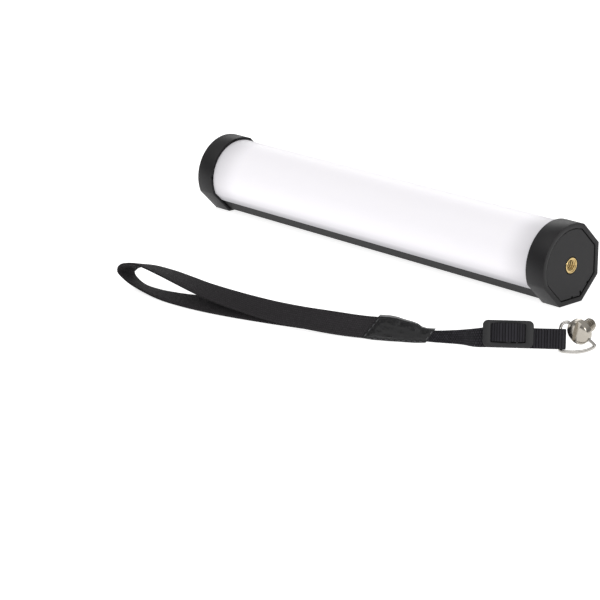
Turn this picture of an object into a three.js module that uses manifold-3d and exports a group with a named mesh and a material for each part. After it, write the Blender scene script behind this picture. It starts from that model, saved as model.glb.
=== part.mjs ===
// A handheld LED light tube with its wrist strap lying in front of it.
// Millimetres, +Z up. X runs along the tube. The origin is on the ground under the tube's middle.
//
// The tube is an octagon whose side towards the diffuser is rounded off into an arc. It rests on
// one flat, so the diffuser faces up and forwards at 45 degrees and the controls face down and back.
// Inside the tube's own group, +Z points out of the diffuser and -Z out of the control flat.

import * as THREE from 'three';
import { mergeVertices } from 'three/addons/utils/BufferGeometryUtils.js';
import Module from 'manifold-3d';

// ---- Driving dimensions ----

const TUBE_LENGTH = 256;
const CAP_ACROSS_FLATS = 39.5;
const CAP_LENGTH = 11.3;
const BODY_INSET = 1.4; // how far the caps stand proud of the body
const FIT_GAP = 0.3; // between pieces that touch on the real object

const HOUSING_WALL = 1.8;
const DIFFUSER_WALL = 1.6;
const SPLIT_Z = 0.8; // where the diffuser meets the housing
const CAP_RIM = 2.5; // width of the rim round each face plate
const CAP_RECESS = 1; // depth of the recess that holds a face plate
const CAP_END_WALL = 1.5;
const ARC_STEPS = 24;

const INSERT_RADIUS = 4;
const INSERT_LENGTH = 10;
const THREAD_MAJOR_RADIUS = 3.175; // 1/4"-20
const INSERT_SIDES = 20;

const CELL_RADIUS = 9.1; // 18650
const CELL_LENGTH = 65;
const CELL_Z = -6.9;
const CELL_STARTS = { battery_cell_left: -103, battery_cell_right: -35 };

const PANEL = { from: 45, to: 103, width: 12.6, thickness: 0.7 };
const PANEL_RECESS = 1;
const WINDOW = { x: 60, length: 20, width: 9 };
const BUTTON_RADIUS = 2.8;
const BUTTON_PROUD = 0.5;
const BUTTON_X = { power_button: 98, up_button: 90, down_button: 82.5, mode_button: 75 };
const LENS = { x: 48, radius: 1 };
const USB = { x: 108.5, width: 8.9, height: 3.2 };
const BOARD = { from: 36, to: 112, width: 20, bottom: -11.8, thickness: 1.2 };

const WEBBING_WIDTH = 10.6;
const WEBBING_THICKNESS = 1.3;
const NARROW_WIDTH = 9.5;
const NARROW_THICKNESS = 1.1;
const RING_WIRE_RADIUS = 0.8;

// The straight end of the strap, with the slider and the ring: its place, heading and backward lean.
const RUN_ORIGIN = [158.1, -78.5, 1];
const RUN_HEADING = 42;
const RUN_LEAN = 18;

// ---- Sizes worked out from them ----

const HALF_LENGTH = TUBE_LENGTH / 2;
const HALF_FLAT = CAP_ACROSS_FLATS / 2;
const OCTAGON_CORNER = Math.cos(Math.PI / 8);
const CAP_ARC_RADIUS = HALF_FLAT / OCTAGON_CORNER;
const AXIS_HEIGHT = HALF_FLAT;
const AXIS_Y = (CAP_ARC_RADIUS - HALF_FLAT) / 2; // centres the tube's own box on the origin
const BODY_HALF = HALF_LENGTH - CAP_RECESS - CAP_END_WALL - FIT_GAP;
const BODY_FLAT = HALF_FLAT - BODY_INSET;
const INNER_FLAT = BODY_FLAT - HOUSING_WALL;
const PANEL_FLOOR = -BODY_FLAT + PANEL_RECESS;

// ---- Finishes ----

const finish = (color, roughness, metalness = 0) =>
  new THREE.MeshStandardMaterial({ color, roughness, metalness });

const BLACK_ABS = finish(0x2b2a2c, 0.55);
const DARK_ABS = finish(0x333234, 0.5);
const OPAL = finish(0xf4f4f6, 0.4);
const ALUMINIUM = finish(0xb8babd, 0.4, 1);
const WHITE_BOARD = finish(0xe9ecea, 0.5);
const GREEN_BOARD = finish(0x1f5a3a, 0.5);
const CELL_WRAP = finish(0x2f6fb0, 0.4);
const NICKEL = finish(0xb5b2ab, 0.3, 1);
const BRASS = finish(0xc9a55b, 0.3, 1);
const STEEL = finish(0x8e9094, 0.35, 1);
const CLEAR = finish(0x14161a, 0.1);
const RED_PVC = finish(0xa82822, 0.5);
const BLACK_PVC = finish(0x1c1c1e, 0.5);
const WEBBING = finish(0x2a292b, 0.9);
const LEATHERETTE = finish(0x2e2f33, 0.6);

// ---- Solid geometry ----

const wasm = await Module();
wasm.setup();

function toSolid(geometry) {
  const bare = geometry.clone();
  bare.deleteAttribute('normal');
  bare.deleteAttribute('uv');
  const merged = mergeVertices(bare, 1e-4);
  const mesh = new wasm.Mesh({
    numProp: 3,
    vertProperties: new Float32Array(merged.attributes.position.array),
    triVerts: new Uint32Array(merged.index.array),
  });
  return new wasm.Manifold(mesh);
}

function toGeometry(solid) {
  const mesh = solid.getMesh();
  const geometry = new THREE.BufferGeometry();
  geometry.setAttribute('position', new THREE.BufferAttribute(mesh.vertProperties, 3));
  geometry.setIndex(new THREE.BufferAttribute(mesh.triVerts, 1));
  geometry.computeVertexNormals();
  return geometry;
}

function cut(geometry, ...tools) {
  return toGeometry(tools.reduce((solid, tool) => solid.subtract(toSolid(tool)), toSolid(geometry)));
}

function join(geometry, ...others) {
  return toGeometry(others.reduce((solid, other) => solid.add(toSolid(other)), toSolid(geometry)));
}

function keep(geometry, region) {
  return toGeometry(toSolid(geometry).intersect(toSolid(region)));
}

const ALONG_X = new THREE.Matrix4().makeBasis(
  new THREE.Vector3(0, 1, 0),
  new THREE.Vector3(0, 0, 1),
  new THREE.Vector3(1, 0, 0),
);

// A box from its limits along X, Y and Z.
function block([x0, x1], [y0, y1], [z0, z1]) {
  const geometry = new THREE.BoxGeometry(x1 - x0, y1 - y0, z1 - z0);
  return geometry.translate((x0 + x1) / 2, (y0 + y1) / 2, (z0 + z1) / 2);
}

// A round bar along X, Y or Z.
function rod(axis, radius, from, to, [a, b] = [0, 0], sides = 16) {
  const geometry = new THREE.CylinderGeometry(radius, radius, to - from, sides);
  const middle = (from + to) / 2;
  if (axis === 'x') return geometry.rotateZ(-Math.PI / 2).translate(middle, a, b);
  if (axis === 'z') return geometry.rotateX(Math.PI / 2).translate(a, b, middle);
  return geometry.translate(a, middle, b);
}

// The tube's cross-section, `inset` inside the caps: five flats and the arc towards the diffuser.
function section(inset) {
  const radius = (HALF_FLAT - inset) / OCTAGON_CORNER;
  const corner = Math.PI / 8;
  const shape = new THREE.Shape();
  shape.moveTo(radius * Math.cos(corner), radius * Math.sin(corner));
  shape.absarc(0, 0, radius, corner, Math.PI - corner, false);
  for (const angle of [9, 11, 13, 15]) {
    shape.lineTo(radius * Math.cos(angle * corner), radius * Math.sin(angle * corner));
  }
  shape.closePath();
  return shape;
}

// A cross-section extruded along X between two stations, with an optional bevel at both ends.
function prism(shape, from, to, bevel = 0) {
  const geometry = new THREE.ExtrudeGeometry(shape, {
    depth: to - from - 2 * bevel,
    curveSegments: ARC_STEPS,
    bevelEnabled: bevel > 0,
    bevelThickness: bevel,
    bevelSize: bevel,
    bevelOffset: -bevel,
    bevelSegments: 1,
  });
  return geometry.translate(0, 0, from + bevel).applyMatrix4(ALONG_X);
}

// A flat strap along a route of [x, y, z, lean in degrees, width]. It stands on its edge where the
// lean is 0, and lies back towards `away` as the lean grows.
function ribbon(route, thickness, steps, away) {
  const centre = new THREE.CatmullRomCurve3(route.map(([x, y, z]) => new THREE.Vector3(x, y, z)));
  const twist = new THREE.CatmullRomCurve3(
    route.map(([, , , lean, width]) => new THREE.Vector3(THREE.MathUtils.degToRad(lean), width, 0)),
  );
  const geometry = new THREE.BoxGeometry(1, 1, 1, 1, 1, steps);
  const position = geometry.attributes.position;
  const back = new THREE.Vector3(...away);
  for (let i = 0; i < position.count; i += 1) {
    const along = position.getZ(i) + 0.5;
    const tangent = centre.getTangent(along);
    const { x: lean, y: width } = twist.getPoint(along);
    const across = new THREE.Vector3(0, 0, Math.cos(lean)).addScaledVector(back, Math.sin(lean));
    across.addScaledVector(tangent, -across.dot(tangent)).normalize();
    const face = new THREE.Vector3().crossVectors(tangent, across);
    const point = centre.getPoint(along);
    point.addScaledVector(across, width * position.getX(i));
    point.addScaledVector(face, thickness * position.getY(i));
    position.setXYZ(i, point.x, point.y, point.z);
  }
  return geometry;
}

// A round wire or lead along a smooth route.
function wire(points, radius, steps, sides = 8, closed = false) {
  const outline = new THREE.Shape().absarc(0, 0, radius, 0, 2 * Math.PI);
  return new THREE.ExtrudeGeometry(outline, {
    steps,
    curveSegments: sides,
    bevelEnabled: false,
    extrudePath: new THREE.CatmullRomCurve3(points.map((p) => new THREE.Vector3(...p)), closed),
  });
}

function add(group, name, geometry, material) {
  const mesh = new THREE.Mesh(geometry, material);
  mesh.name = name;
  group.add(mesh);
  return mesh;
}

// ---- The tube ----

const light = new THREE.Group();
const tube = new THREE.Group();
tube.position.set(0, AXIS_Y, AXIS_HEIGHT);
tube.rotation.x = Math.PI / 4; // turns the diffuser from straight up to up-and-forwards
light.add(tube);

const everywhere = [-TUBE_LENGTH, TUBE_LENGTH];
const wide = [-CAP_ACROSS_FLATS, CAP_ACROSS_FLATS];

// The open channel that carries everything: walls, ledges for the LED carrier, screw bosses,
// and on its control flat a recess for the panel with holes for what shows through it.
function backHousing() {
  const ledgeLimits = [-1, 0.2];
  const bossCentre = 10.5;
  const bossRadius = 2.6;
  const bossLength = 12;
  const screwHoleRadius = 1.3;
  const floor = [-BODY_FLAT - 1, -INNER_FLAT + 1];
  const below = block(everywhere, wide, [-CAP_ACROSS_FLATS, SPLIT_Z - FIT_GAP / 2]);
  const shell = cut(
    prism(section(BODY_INSET), -BODY_HALF, BODY_HALF),
    prism(section(BODY_INSET + HOUSING_WALL), -BODY_HALF - 1, BODY_HALF + 1),
  );
  const fittings = [];
  const holes = [];
  for (const side of [-1, 1]) {
    const ledge = [INNER_FLAT - 2.4, INNER_FLAT + 0.2].map((y) => side * y).sort((a, b) => a - b);
    fittings.push(block([-BODY_HALF + 14, BODY_HALF - 14], ledge, ledgeLimits));
    for (const end of [-1, 1]) {
      const span = [end * BODY_HALF, end * (BODY_HALF - bossLength)].sort((a, b) => a - b);
      const place = [side * bossCentre, -bossCentre];
      fittings.push(rod('x', bossRadius, ...span, place, 12));
      holes.push(rod('x', screwHoleRadius, span[0] - 1, span[1] + 1, place, 12));
    }
  }
  holes.push(
    block([PANEL.from - FIT_GAP, PANEL.to + FIT_GAP],
      [-PANEL.width / 2 - FIT_GAP, PANEL.width / 2 + FIT_GAP], [-BODY_FLAT - 1, PANEL_FLOOR]),
    block([WINDOW.x - WINDOW.length / 2, WINDOW.x + WINDOW.length / 2],
      [-WINDOW.width / 2, WINDOW.width / 2], floor),
    rod('z', LENS.radius + FIT_GAP, ...floor, [LENS.x, 0], 12),
    block([USB.x - USB.height / 2 - FIT_GAP, USB.x + USB.height / 2 + FIT_GAP],
      [-USB.width / 2 - FIT_GAP, USB.width / 2 + FIT_GAP], floor),
  );
  for (const x of Object.values(BUTTON_X)) {
    holes.push(rod('z', BUTTON_RADIUS + FIT_GAP, ...floor, [x, 0], 16));
  }
  return cut(join(keep(shell, below), ...fittings), ...holes);
}

function diffuser() {
  const above = block(everywhere, wide, [SPLIT_Z + FIT_GAP / 2, CAP_ACROSS_FLATS]);
  const shell = cut(
    prism(section(BODY_INSET), -BODY_HALF, BODY_HALF),
    prism(section(BODY_INSET + DIFFUSER_WALL), -BODY_HALF - 1, BODY_HALF + 1),
  );
  return keep(shell, above);
}

add(tube, 'back_housing', backHousing(), BLACK_ABS);
add(tube, 'diffuser', diffuser(), OPAL);

// Each cap is a cup over the body's end, with a recess outside for its face plate, a boss for the
// threaded insert and two countersunk screw holes.
const SCREW = { place: 10.5, headRadius: 2.1, shankRadius: 1, length: 9 };

function endCap() {
  const seat = -CAP_RECESS;
  const inside = seat - CAP_END_WALL;
  const bossRadius = INSERT_RADIUS + 2;
  const bore = INSERT_RADIUS + FIT_GAP;
  const cup = cut(
    prism(section(0), -CAP_LENGTH, 0, 0.5),
    prism(section(CAP_RIM), seat, 1),
    prism(section(BODY_INSET - FIT_GAP), -CAP_LENGTH - 1, inside),
  );
  const boss = rod('x', bossRadius, inside - 8, inside + 0.2, [0, 0], INSERT_SIDES);
  const holes = [rod('x', bore, inside - 9, 1, [0, 0], INSERT_SIDES)];
  for (const side of [-1, 1]) {
    const place = [side * SCREW.place, -SCREW.place];
    holes.push(rod('x', SCREW.shankRadius + FIT_GAP, inside - 1, 1, place, 12));
    holes.push(rod('x', SCREW.headRadius + FIT_GAP, seat - 1, 1, place, 16));
  }
  return cut(join(cup, boss), ...holes);
}

// The plate that closes the cap's face, with three small notches for prising it out.
const NOTCHES = [-87, -109, -131]; // degrees round from the tube's +Y side

function facePlate() {
  const front = -0.35;
  const back = -CAP_RECESS + FIT_GAP / 2;
  const edge = HALF_FLAT - CAP_RIM - FIT_GAP;
  const notches = NOTCHES.map((degrees) =>
    block([back + 0.2, 1], [-0.5, 0.5], [edge - 0.6, edge + 2]).rotateX(THREE.MathUtils.degToRad(degrees - 90)));
  return cut(
    prism(section(CAP_RIM + FIT_GAP), back, front),
    rod('x', INSERT_RADIUS + FIT_GAP, -3, 1, [0, 0], INSERT_SIDES),
    ...notches,
  );
}

// A turned brass bush, blind at its inner end. The wall inside is at the thread's major radius.
function threadInsert() {
  const front = -0.2;
  const back = front - INSERT_LENGTH;
  const chamfer = 0.35;
  const profile = [
    [0, back],
    [INSERT_RADIUS - chamfer, back],
    [INSERT_RADIUS, back + chamfer],
    [INSERT_RADIUS, front],
    [THREAD_MAJOR_RADIUS + 0.15, front],
    [THREAD_MAJOR_RADIUS, front - 0.5],
    [THREAD_MAJOR_RADIUS, back + 1.5],
    [0, back + 1.5],
  ];
  const points = profile.map(([r, x]) => new THREE.Vector2(r, x));
  return new THREE.LatheGeometry(points, INSERT_SIDES).rotateZ(-Math.PI / 2);
}

// A countersunk screw along X, its head towards +X.
function capScrew() {
  const head = -CAP_RECESS - 0.15;
  const profile = [
    [0, head - SCREW.length],
    [SCREW.shankRadius, head - SCREW.length],
    [SCREW.shankRadius, head - 0.75],
    [SCREW.headRadius, head - 0.7],
    [SCREW.headRadius, head],
    [0, head],
  ];
  const points = profile.map(([r, x]) => new THREE.Vector2(r, x));
  return new THREE.LatheGeometry(points, 12).rotateZ(-Math.PI / 2);
}

for (const [side, end] of [['right', 1], ['left', -1]]) {
  const cap = new THREE.Group();
  cap.position.x = end * HALF_LENGTH;
  cap.rotation.z = end > 0 ? 0 : Math.PI;
  tube.add(cap);
  add(cap, `end_cap_${side}`, endCap(), BLACK_ABS);
  add(cap, `face_plate_${side}`, facePlate(), DARK_ABS);
  add(cap, `thread_insert_${side}`, threadInsert(), BRASS);
  for (const [row, y] of [['front', -SCREW.place], ['back', SCREW.place]]) {
    add(cap, `cap_screw_${side}_${row}`, capScrew(), STEEL).position.set(0, y, -SCREW.place);
  }
}

// ---- Light source ----

const CARRIER_TOP = 4.4;

function ledCarrier() {
  const half = 15.6;
  const wall = 1.2;
  const reach = [-BODY_HALF + 8, BODY_HALF - 8];
  const legs = [-1, 1].map((side) => {
    const y = [side * half, side * (half - wall)].sort((a, b) => a - b);
    return block(reach, y, [0.5, CARRIER_TOP - 0.2]);
  });
  return join(block(reach, [-half, half], [CARRIER_TOP - wall, CARRIER_TOP]), ...legs);
}

function ledBoard() {
  const bottom = CARRIER_TOP + FIT_GAP;
  const top = bottom + 1;
  const reach = BODY_HALF - 10;
  const columns = 16;
  const pitch = (2 * reach - 12) / (columns - 1);
  const size = 1.75;
  const leds = [];
  for (let column = 0; column < columns; column += 1) {
    const x = (column - (columns - 1) / 2) * pitch;
    for (const y of [-6.5, 6.5]) {
      leds.push(block([x - size, x + size], [y - size, y + size], [top - 0.2, top + 1]));
    }
  }
  return join(block([-reach, reach], [-14.4, 14.4], [bottom, top]), ...leds);
}

add(tube, 'led_carrier', ledCarrier(), ALUMINIUM);
add(tube, 'led_board', ledBoard(), WHITE_BOARD);

// ---- Battery ----

function batteryCell(start) {
  const nipple = 1.2;
  const edge = 0.8;
  const profile = [
    [0, 0],
    [CELL_RADIUS - edge, 0],
    [CELL_RADIUS, edge],
    [CELL_RADIUS, CELL_LENGTH - nipple - edge],
    [CELL_RADIUS - edge, CELL_LENGTH - nipple],
    [3, CELL_LENGTH - nipple],
    [2.8, CELL_LENGTH],
    [0, CELL_LENGTH],
  ];
  const points = profile.map(([r, x]) => new THREE.Vector2(r, x));
  return new THREE.LatheGeometry(points, 24).rotateZ(-Math.PI / 2).translate(start, 0, CELL_Z);
}

for (const [name, start] of Object.entries(CELL_STARTS)) {
  add(tube, name, batteryCell(start), CELL_WRAP);
}

const BATTERY = {
  left: CELL_STARTS.battery_cell_left,
  right: CELL_STARTS.battery_cell_right + CELL_LENGTH,
};

function batteryCradle() {
  const wall = 1.6;
  const contactRoom = 1;
  const half = 11.3;
  const railInside = CELL_RADIUS + FIT_GAP;
  const span = [BATTERY.left - contactRoom - wall, BATTERY.right + contactRoom + wall];
  const rails = [-1, 1].map((side) => {
    const y = [side * railInside, side * half].sort((a, b) => a - b);
    return block(span, y, [-10, -4]);
  });
  const plates = [span[0], span[1] - wall].map((x) => block([x, x + wall], [-half, half], [-11.5, 1.9]));
  return join(rails[0], plates[0], rails[1], plates[1]);
}

add(tube, 'battery_cradle', batteryCradle(), DARK_ABS);
for (const [side, x] of [['left', BATTERY.left - 0.7], ['right', BATTERY.right + 0.3]]) {
  add(tube, `battery_contact_${side}`, block([x, x + 0.4], [-4, 4], [CELL_Z - 4, CELL_Z + 4]), NICKEL);
}

// ---- Controls ----

const SWITCH_TOP = -14.4; // the face of the board's push switches, under the buttons

function controlBoard() {
  const half = BOARD.width / 2;
  const bodies = Object.values(BUTTON_X).map((x) =>
    block([x - 2.4, x + 2.4], [-2.4, 2.4], [SWITCH_TOP, BOARD.bottom + 0.2]));
  const driver = block([44, 52], [-4, 4], [BOARD.bottom + BOARD.thickness - 0.2, BOARD.bottom + 2.4]);
  const plate = block([BOARD.from, BOARD.to], [-half, half], [BOARD.bottom, BOARD.bottom + BOARD.thickness]);
  return join(plate, driver, ...bodies);
}

function controlPanel() {
  const through = [-BODY_FLAT - 1, PANEL_FLOOR + 1];
  const holes = Object.values(BUTTON_X).map((x) => rod('z', BUTTON_RADIUS + FIT_GAP, ...through, [x, 0], 16));
  const plate = block([PANEL.from, PANEL.to], [-PANEL.width / 2, PANEL.width / 2],
    [-BODY_FLAT + 0.05, -BODY_FLAT + 0.05 + PANEL.thickness]);
  return cut(plate, ...holes,
    block([WINDOW.x - WINDOW.length / 2, WINDOW.x + WINDOW.length / 2],
      [-WINDOW.width / 2, WINDOW.width / 2], through),
    rod('z', LENS.radius + FIT_GAP, ...through, [LENS.x, 0], 12));
}

// A push button: the cap that shows, and a flange that keeps it behind the housing's wall.
function pushButton() {
  const flangeRadius = BUTTON_RADIUS + 0.8;
  const flange = [-INNER_FLAT + 0.35, -INNER_FLAT + 1.15];
  const tip = [-BODY_FLAT - BUTTON_PROUD, SWITCH_TOP - 0.8];
  const edge = 0.3;
  const profile = [
    [0, tip[0]],
    [BUTTON_RADIUS - edge, tip[0]],
    [BUTTON_RADIUS, tip[0] + edge],
    [BUTTON_RADIUS, flange[0]],
    [flangeRadius, flange[0]],
    [flangeRadius, flange[1]],
    [1.5, flange[1]],
    [1.5, tip[1]],
    [0, tip[1]],
  ];
  return new THREE.LatheGeometry(profile.map(([r, z]) => new THREE.Vector2(r, z)), 20).rotateX(Math.PI / 2);
}

function displayModule() {
  const reach = WINDOW.length / 2 + 0.5;
  return block([WINDOW.x - reach, WINDOW.x + reach], [-WINDOW.width / 2 - 1, WINDOW.width / 2 + 1],
    [-INNER_FLAT + FIT_GAP, -INNER_FLAT + 2.1]);
}

function displayWindow() {
  const reach = WINDOW.length / 2 - FIT_GAP;
  const half = WINDOW.width / 2 - FIT_GAP;
  return block([WINDOW.x - reach, WINDOW.x + reach], [-half, half], [-BODY_FLAT + 0.15, -BODY_FLAT + 1.2]);
}

// A USB-C receptacle facing out of the control flat, open at its mouth, with its tongue inside.
function usbPort() {
  const mouth = -BODY_FLAT + 0.2;
  const back = BOARD.bottom - FIT_GAP;
  const wall = 0.35;
  const shell = block([-USB.height / 2, USB.height / 2], [-USB.width / 2, USB.width / 2], [mouth, back]);
  const cavity = block([-USB.height / 2 + wall, USB.height / 2 - wall],
    [-USB.width / 2 + wall, USB.width / 2 - wall], [mouth - 1, back - 1]);
  const tongue = block([-0.35, 0.35], [-3.3, 3.3], [mouth + 1, back - 0.5]);
  return join(cut(shell, cavity), tongue).translate(USB.x, 0, 0);
}

add(tube, 'control_board', controlBoard(), GREEN_BOARD);
add(tube, 'control_panel', controlPanel(), DARK_ABS);
add(tube, 'display_module', displayModule(), CLEAR);
add(tube, 'display_window', displayWindow(), CLEAR);
add(tube, 'usb_port', usbPort(), STEEL);
add(tube, 'indicator_lens', rod('z', LENS.radius, -BODY_FLAT - 0.05, BOARD.bottom - FIT_GAP, [LENS.x, 0], 12), OPAL);
for (const [name, x] of Object.entries(BUTTON_X)) {
  // The lathe turns its profile about Z, out of the control flat.
  add(tube, name, pushButton(), DARK_ABS).position.x = x;
}

// ---- Magnets and leads ----

for (const [side, x] of [['left', -113], ['right', 118.5]]) {
  add(tube, `magnet_${side}`, rod('z', 5, -INNER_FLAT + FIT_GAP, -INNER_FLAT + 2.8, [x, 0], 20), NICKEL);
}

const BOARD_TOP = BOARD.bottom + BOARD.thickness;
const CRADLE_END = BATTERY.right + 2.6;
const LEADS = {
  battery_lead_positive: {
    material: RED_PVC,
    route: [[CRADLE_END + 0.4, 3, -3], [CRADLE_END + 2.5, 3.5, -4], [39, 5, -7], [42, 6, BOARD_TOP + 1]],
  },
  battery_lead_negative: {
    material: BLACK_PVC,
    route: [[CRADLE_END + 0.4, -3, -3], [CRADLE_END + 2.5, -3.5, -4], [39, -5, -7], [42, -6, BOARD_TOP + 1]],
  },
  led_lead: {
    material: BLACK_PVC,
    route: [[108, 7, BOARD_TOP + 1], [110, 7, -6], [112, 6, -2], [113, 3, 2.2]],
  },
};
for (const [name, { material, route }] of Object.entries(LEADS)) {
  add(tube, name, wire(route, 0.6, 12, 4), material);
}

// ---- Wrist strap: the wide loop ----

// From the cover out along the strand on the ground, round the loop's end, and back above it.
const LOOP_AWAY = [0.2, 0.98, 0];
const LOOP_ROUTE = [
  [108, -102.4, 5.7, 0], [95, -110.4, 5.7, 2], [79, -117, 5.6, 14], [62, -123, 5.3, 30],
  [46, -128.2, 4.7, 44], [31, -132.4, 4, 53], [16, -136, 3.3, 62], [2, -138.3, 2.6, 71],
  [-12, -139.2, 1.8, 82], [-25, -139.4, 1.8, 96], [-36, -139.6, 2.9, 107], [-43.5, -139.6, 5.8, 110],
  [-45, -139.2, 8.6, 110], [-41, -138.8, 11.4, 107], [-31, -138.4, 13.5, 102], [-15, -138.6, 13.4, 91],
  [-1, -138.2, 12.2, 82], [12, -137, 10.6, 74], [26, -134.4, 9, 64], [40, -131.2, 7.7, 54],
  [54, -127.8, 6.8, 42], [69, -123, 6.3, 31], [83, -117.7, 5.8, 16], [95.7, -112.3, 5.7, 3],
  [109, -104, 5.7, 0],
].map((station) => [...station, WEBBING_WIDTH]);

const LOOP_STEPS = 96;
add(light, 'strap_loop_webbing', ribbon(LOOP_ROUTE, WEBBING_THICKNESS, LOOP_STEPS, LOOP_AWAY), WEBBING);

// ---- Wrist strap: the cover over the join ----

// Seen from the front it leans at both ends and tapers towards the narrow webbing.
const COVER_START = [95.2, -111.6, 0];
const COVER_HEADING = 32.6;
const COVER_THICKNESS = 5.6;
const COVER_OUTLINE = [
  [0.6, 0.6], [6, 0.1], [26, 0.1], [31.2, 0.5], [35.8, 7.5], [31.4, 7.4], [29, 8], [27.3, 9.2], [24.6, 10],
  [21, 10.7], [17.5, 11.6], [13.8, 12], [8.9, 11.9],
];

function joinCover() {
  const bevel = 0.9;
  const shape = new THREE.Shape(COVER_OUTLINE.map(([x, z]) => new THREE.Vector2(x, z)));
  const body = new THREE.ExtrudeGeometry(shape, {
    depth: COVER_THICKNESS - 2 * bevel,
    bevelThickness: bevel,
    bevelSize: bevel / 2,
    bevelOffset: -bevel / 2,
    bevelSegments: 1,
  });
  body.translate(0, 0, -COVER_THICKNESS / 2 + bevel).rotateX(Math.PI / 2);
  const strands = 2;
  return cut(
    body,
    block([-3, 16.3], [-strands, strands], [0.25, 11.2]),
    block([18.5, 40], [-0.9, 0.9], [0.7, 6.9]),
  );
}

const cover = add(light, 'strap_join_cover', joinCover(), LEATHERETTE);
cover.position.set(...COVER_START);
cover.rotation.z = THREE.MathUtils.degToRad(COVER_HEADING);

// ---- Wrist strap: the straight end ----

// Inside this group X runs along the strap, +Y away from the front and +Z up the webbing's width.
const heading = new THREE.Group();
heading.position.set(...RUN_ORIGIN);
heading.rotation.z = THREE.MathUtils.degToRad(RUN_HEADING);
light.add(heading);
const run = new THREE.Group();
run.rotation.x = -THREE.MathUtils.degToRad(RUN_LEAN);
heading.add(run);

const RUN_MATRIX = new THREE.Matrix4()
  .makeTranslation(...RUN_ORIGIN)
  .multiply(new THREE.Matrix4().makeRotationZ(THREE.MathUtils.degToRad(RUN_HEADING)))
  .multiply(new THREE.Matrix4().makeRotationX(-THREE.MathUtils.degToRad(RUN_LEAN)));

const LAYER_Y = 2.25; // the middle of the front layer of narrow webbing
const NARROW_BOTTOM = 1.9;
const NARROW_MIDDLE = NARROW_BOTTOM + NARROW_WIDTH / 2;
const FOLD = { start: 4.4, x: 24.2, innerRadius: 1.5 };

// A point of the straight end in the part's own frame.
function onRun(x, y = LAYER_Y, z = NARROW_MIDDLE) {
  return new THREE.Vector3(x, y, z).applyMatrix4(RUN_MATRIX).toArray();
}

const RUN_AWAY = [-Math.sin(THREE.MathUtils.degToRad(RUN_HEADING)), Math.cos(THREE.MathUtils.degToRad(RUN_HEADING)), 0];
const NARROW_ROUTE = [
  [112.5, -100.4, 3.8, 0, 5.4],
  [124.5, -92.7, 3.7, 2, 5.8],
  [135, -86, 4.4, 8, 7],
  [...onRun(-15, LAYER_Y + 0.6, NARROW_MIDDLE - 0.4), RUN_LEAN, 8.7],
  [...onRun(-9), RUN_LEAN, NARROW_WIDTH],
  [...onRun(-2), RUN_LEAN, NARROW_WIDTH],
  [...onRun(FOLD.start - FIT_GAP), RUN_LEAN, NARROW_WIDTH],
];
add(light, 'strap_narrow_webbing', ribbon(NARROW_ROUTE, NARROW_THICKNESS, 28, RUN_AWAY), WEBBING);

// The doubled end, folded round the ring's wire. Its outline is drawn in X and Y, outside then inside.
function ringWebbing() {
  const outer = FOLD.innerRadius + NARROW_THICKNESS;
  const front = LAYER_Y - NARROW_THICKNESS / 2;
  const centreY = front + outer;
  const layerGap = 0.35;
  const backLayer = front + NARROW_THICKNESS + layerGap;
  const narrowFrom = 15;
  const shape = new THREE.Shape();
  shape.moveTo(FOLD.start, front);
  shape.lineTo(FOLD.x, front);
  shape.absarc(FOLD.x, centreY, outer, -Math.PI / 2, Math.PI / 2, false);
  shape.lineTo(narrowFrom, backLayer + NARROW_THICKNESS);
  shape.lineTo(FOLD.start, backLayer + NARROW_THICKNESS);
  shape.lineTo(FOLD.start, backLayer);
  shape.lineTo(narrowFrom, backLayer);
  shape.lineTo(FOLD.x, centreY + FOLD.innerRadius);
  shape.absarc(FOLD.x, centreY, FOLD.innerRadius, Math.PI / 2, -Math.PI / 2, true);
  shape.lineTo(FOLD.start, front + NARROW_THICKNESS);
  shape.closePath();
  const geometry = new THREE.ExtrudeGeometry(shape, {
    depth: NARROW_WIDTH,
    curveSegments: 10,
    bevelEnabled: false,
  });
  return geometry.translate(0, 0, NARROW_BOTTOM);
}

add(run, 'strap_ring_webbing', ringWebbing(), WEBBING);

// The slider: a frame with a centre bar, and the webbing's sewn end wrapped round that bar.
const SLIDER = { half: 11.75, bottom: 2.3, top: 14.7, thickness: 1.4, corner: 2.4 };
const SLIDER_WINDOW = { half: 8, bottom: 4.4, top: 13.1 };
const BAR = { half: 1.3, front: -0.6, back: 0.6 };

function roundedOutline(x0, x1, y0, y1, radius) {
  const shape = new THREE.Shape();
  shape.moveTo(x0 + radius, y0);
  shape.lineTo(x1 - radius, y0);
  shape.absarc(x1 - radius, y0 + radius, radius, -Math.PI / 2, 0, false);
  shape.lineTo(x1, y1 - radius);
  shape.absarc(x1 - radius, y1 - radius, radius, 0, Math.PI / 2, false);
  shape.lineTo(x0 + radius, y1);
  shape.absarc(x0 + radius, y1 - radius, radius, Math.PI / 2, Math.PI, false);
  shape.lineTo(x0, y0 + radius);
  shape.absarc(x0 + radius, y0 + radius, radius, Math.PI, 1.5 * Math.PI, false);
  return shape;
}

function slider() {
  const outline = roundedOutline(-SLIDER.half, SLIDER.half, SLIDER.bottom, SLIDER.top, SLIDER.corner);
  const plate = new THREE.ExtrudeGeometry(outline, {
    depth: SLIDER.thickness,
    curveSegments: 5,
    bevelEnabled: false,
  }).rotateX(Math.PI / 2).translate(0, SLIDER.thickness, 0);
  const frame = cut(plate, block([-SLIDER_WINDOW.half, SLIDER_WINDOW.half], [-3, 3], [SLIDER_WINDOW.bottom, SLIDER_WINDOW.top]));
  const bar = block([-BAR.half, BAR.half], [BAR.front, BAR.back], [SLIDER_WINDOW.bottom - 0.8, SLIDER_WINDOW.top + 0.5]);
  return join(frame, bar);
}

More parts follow.
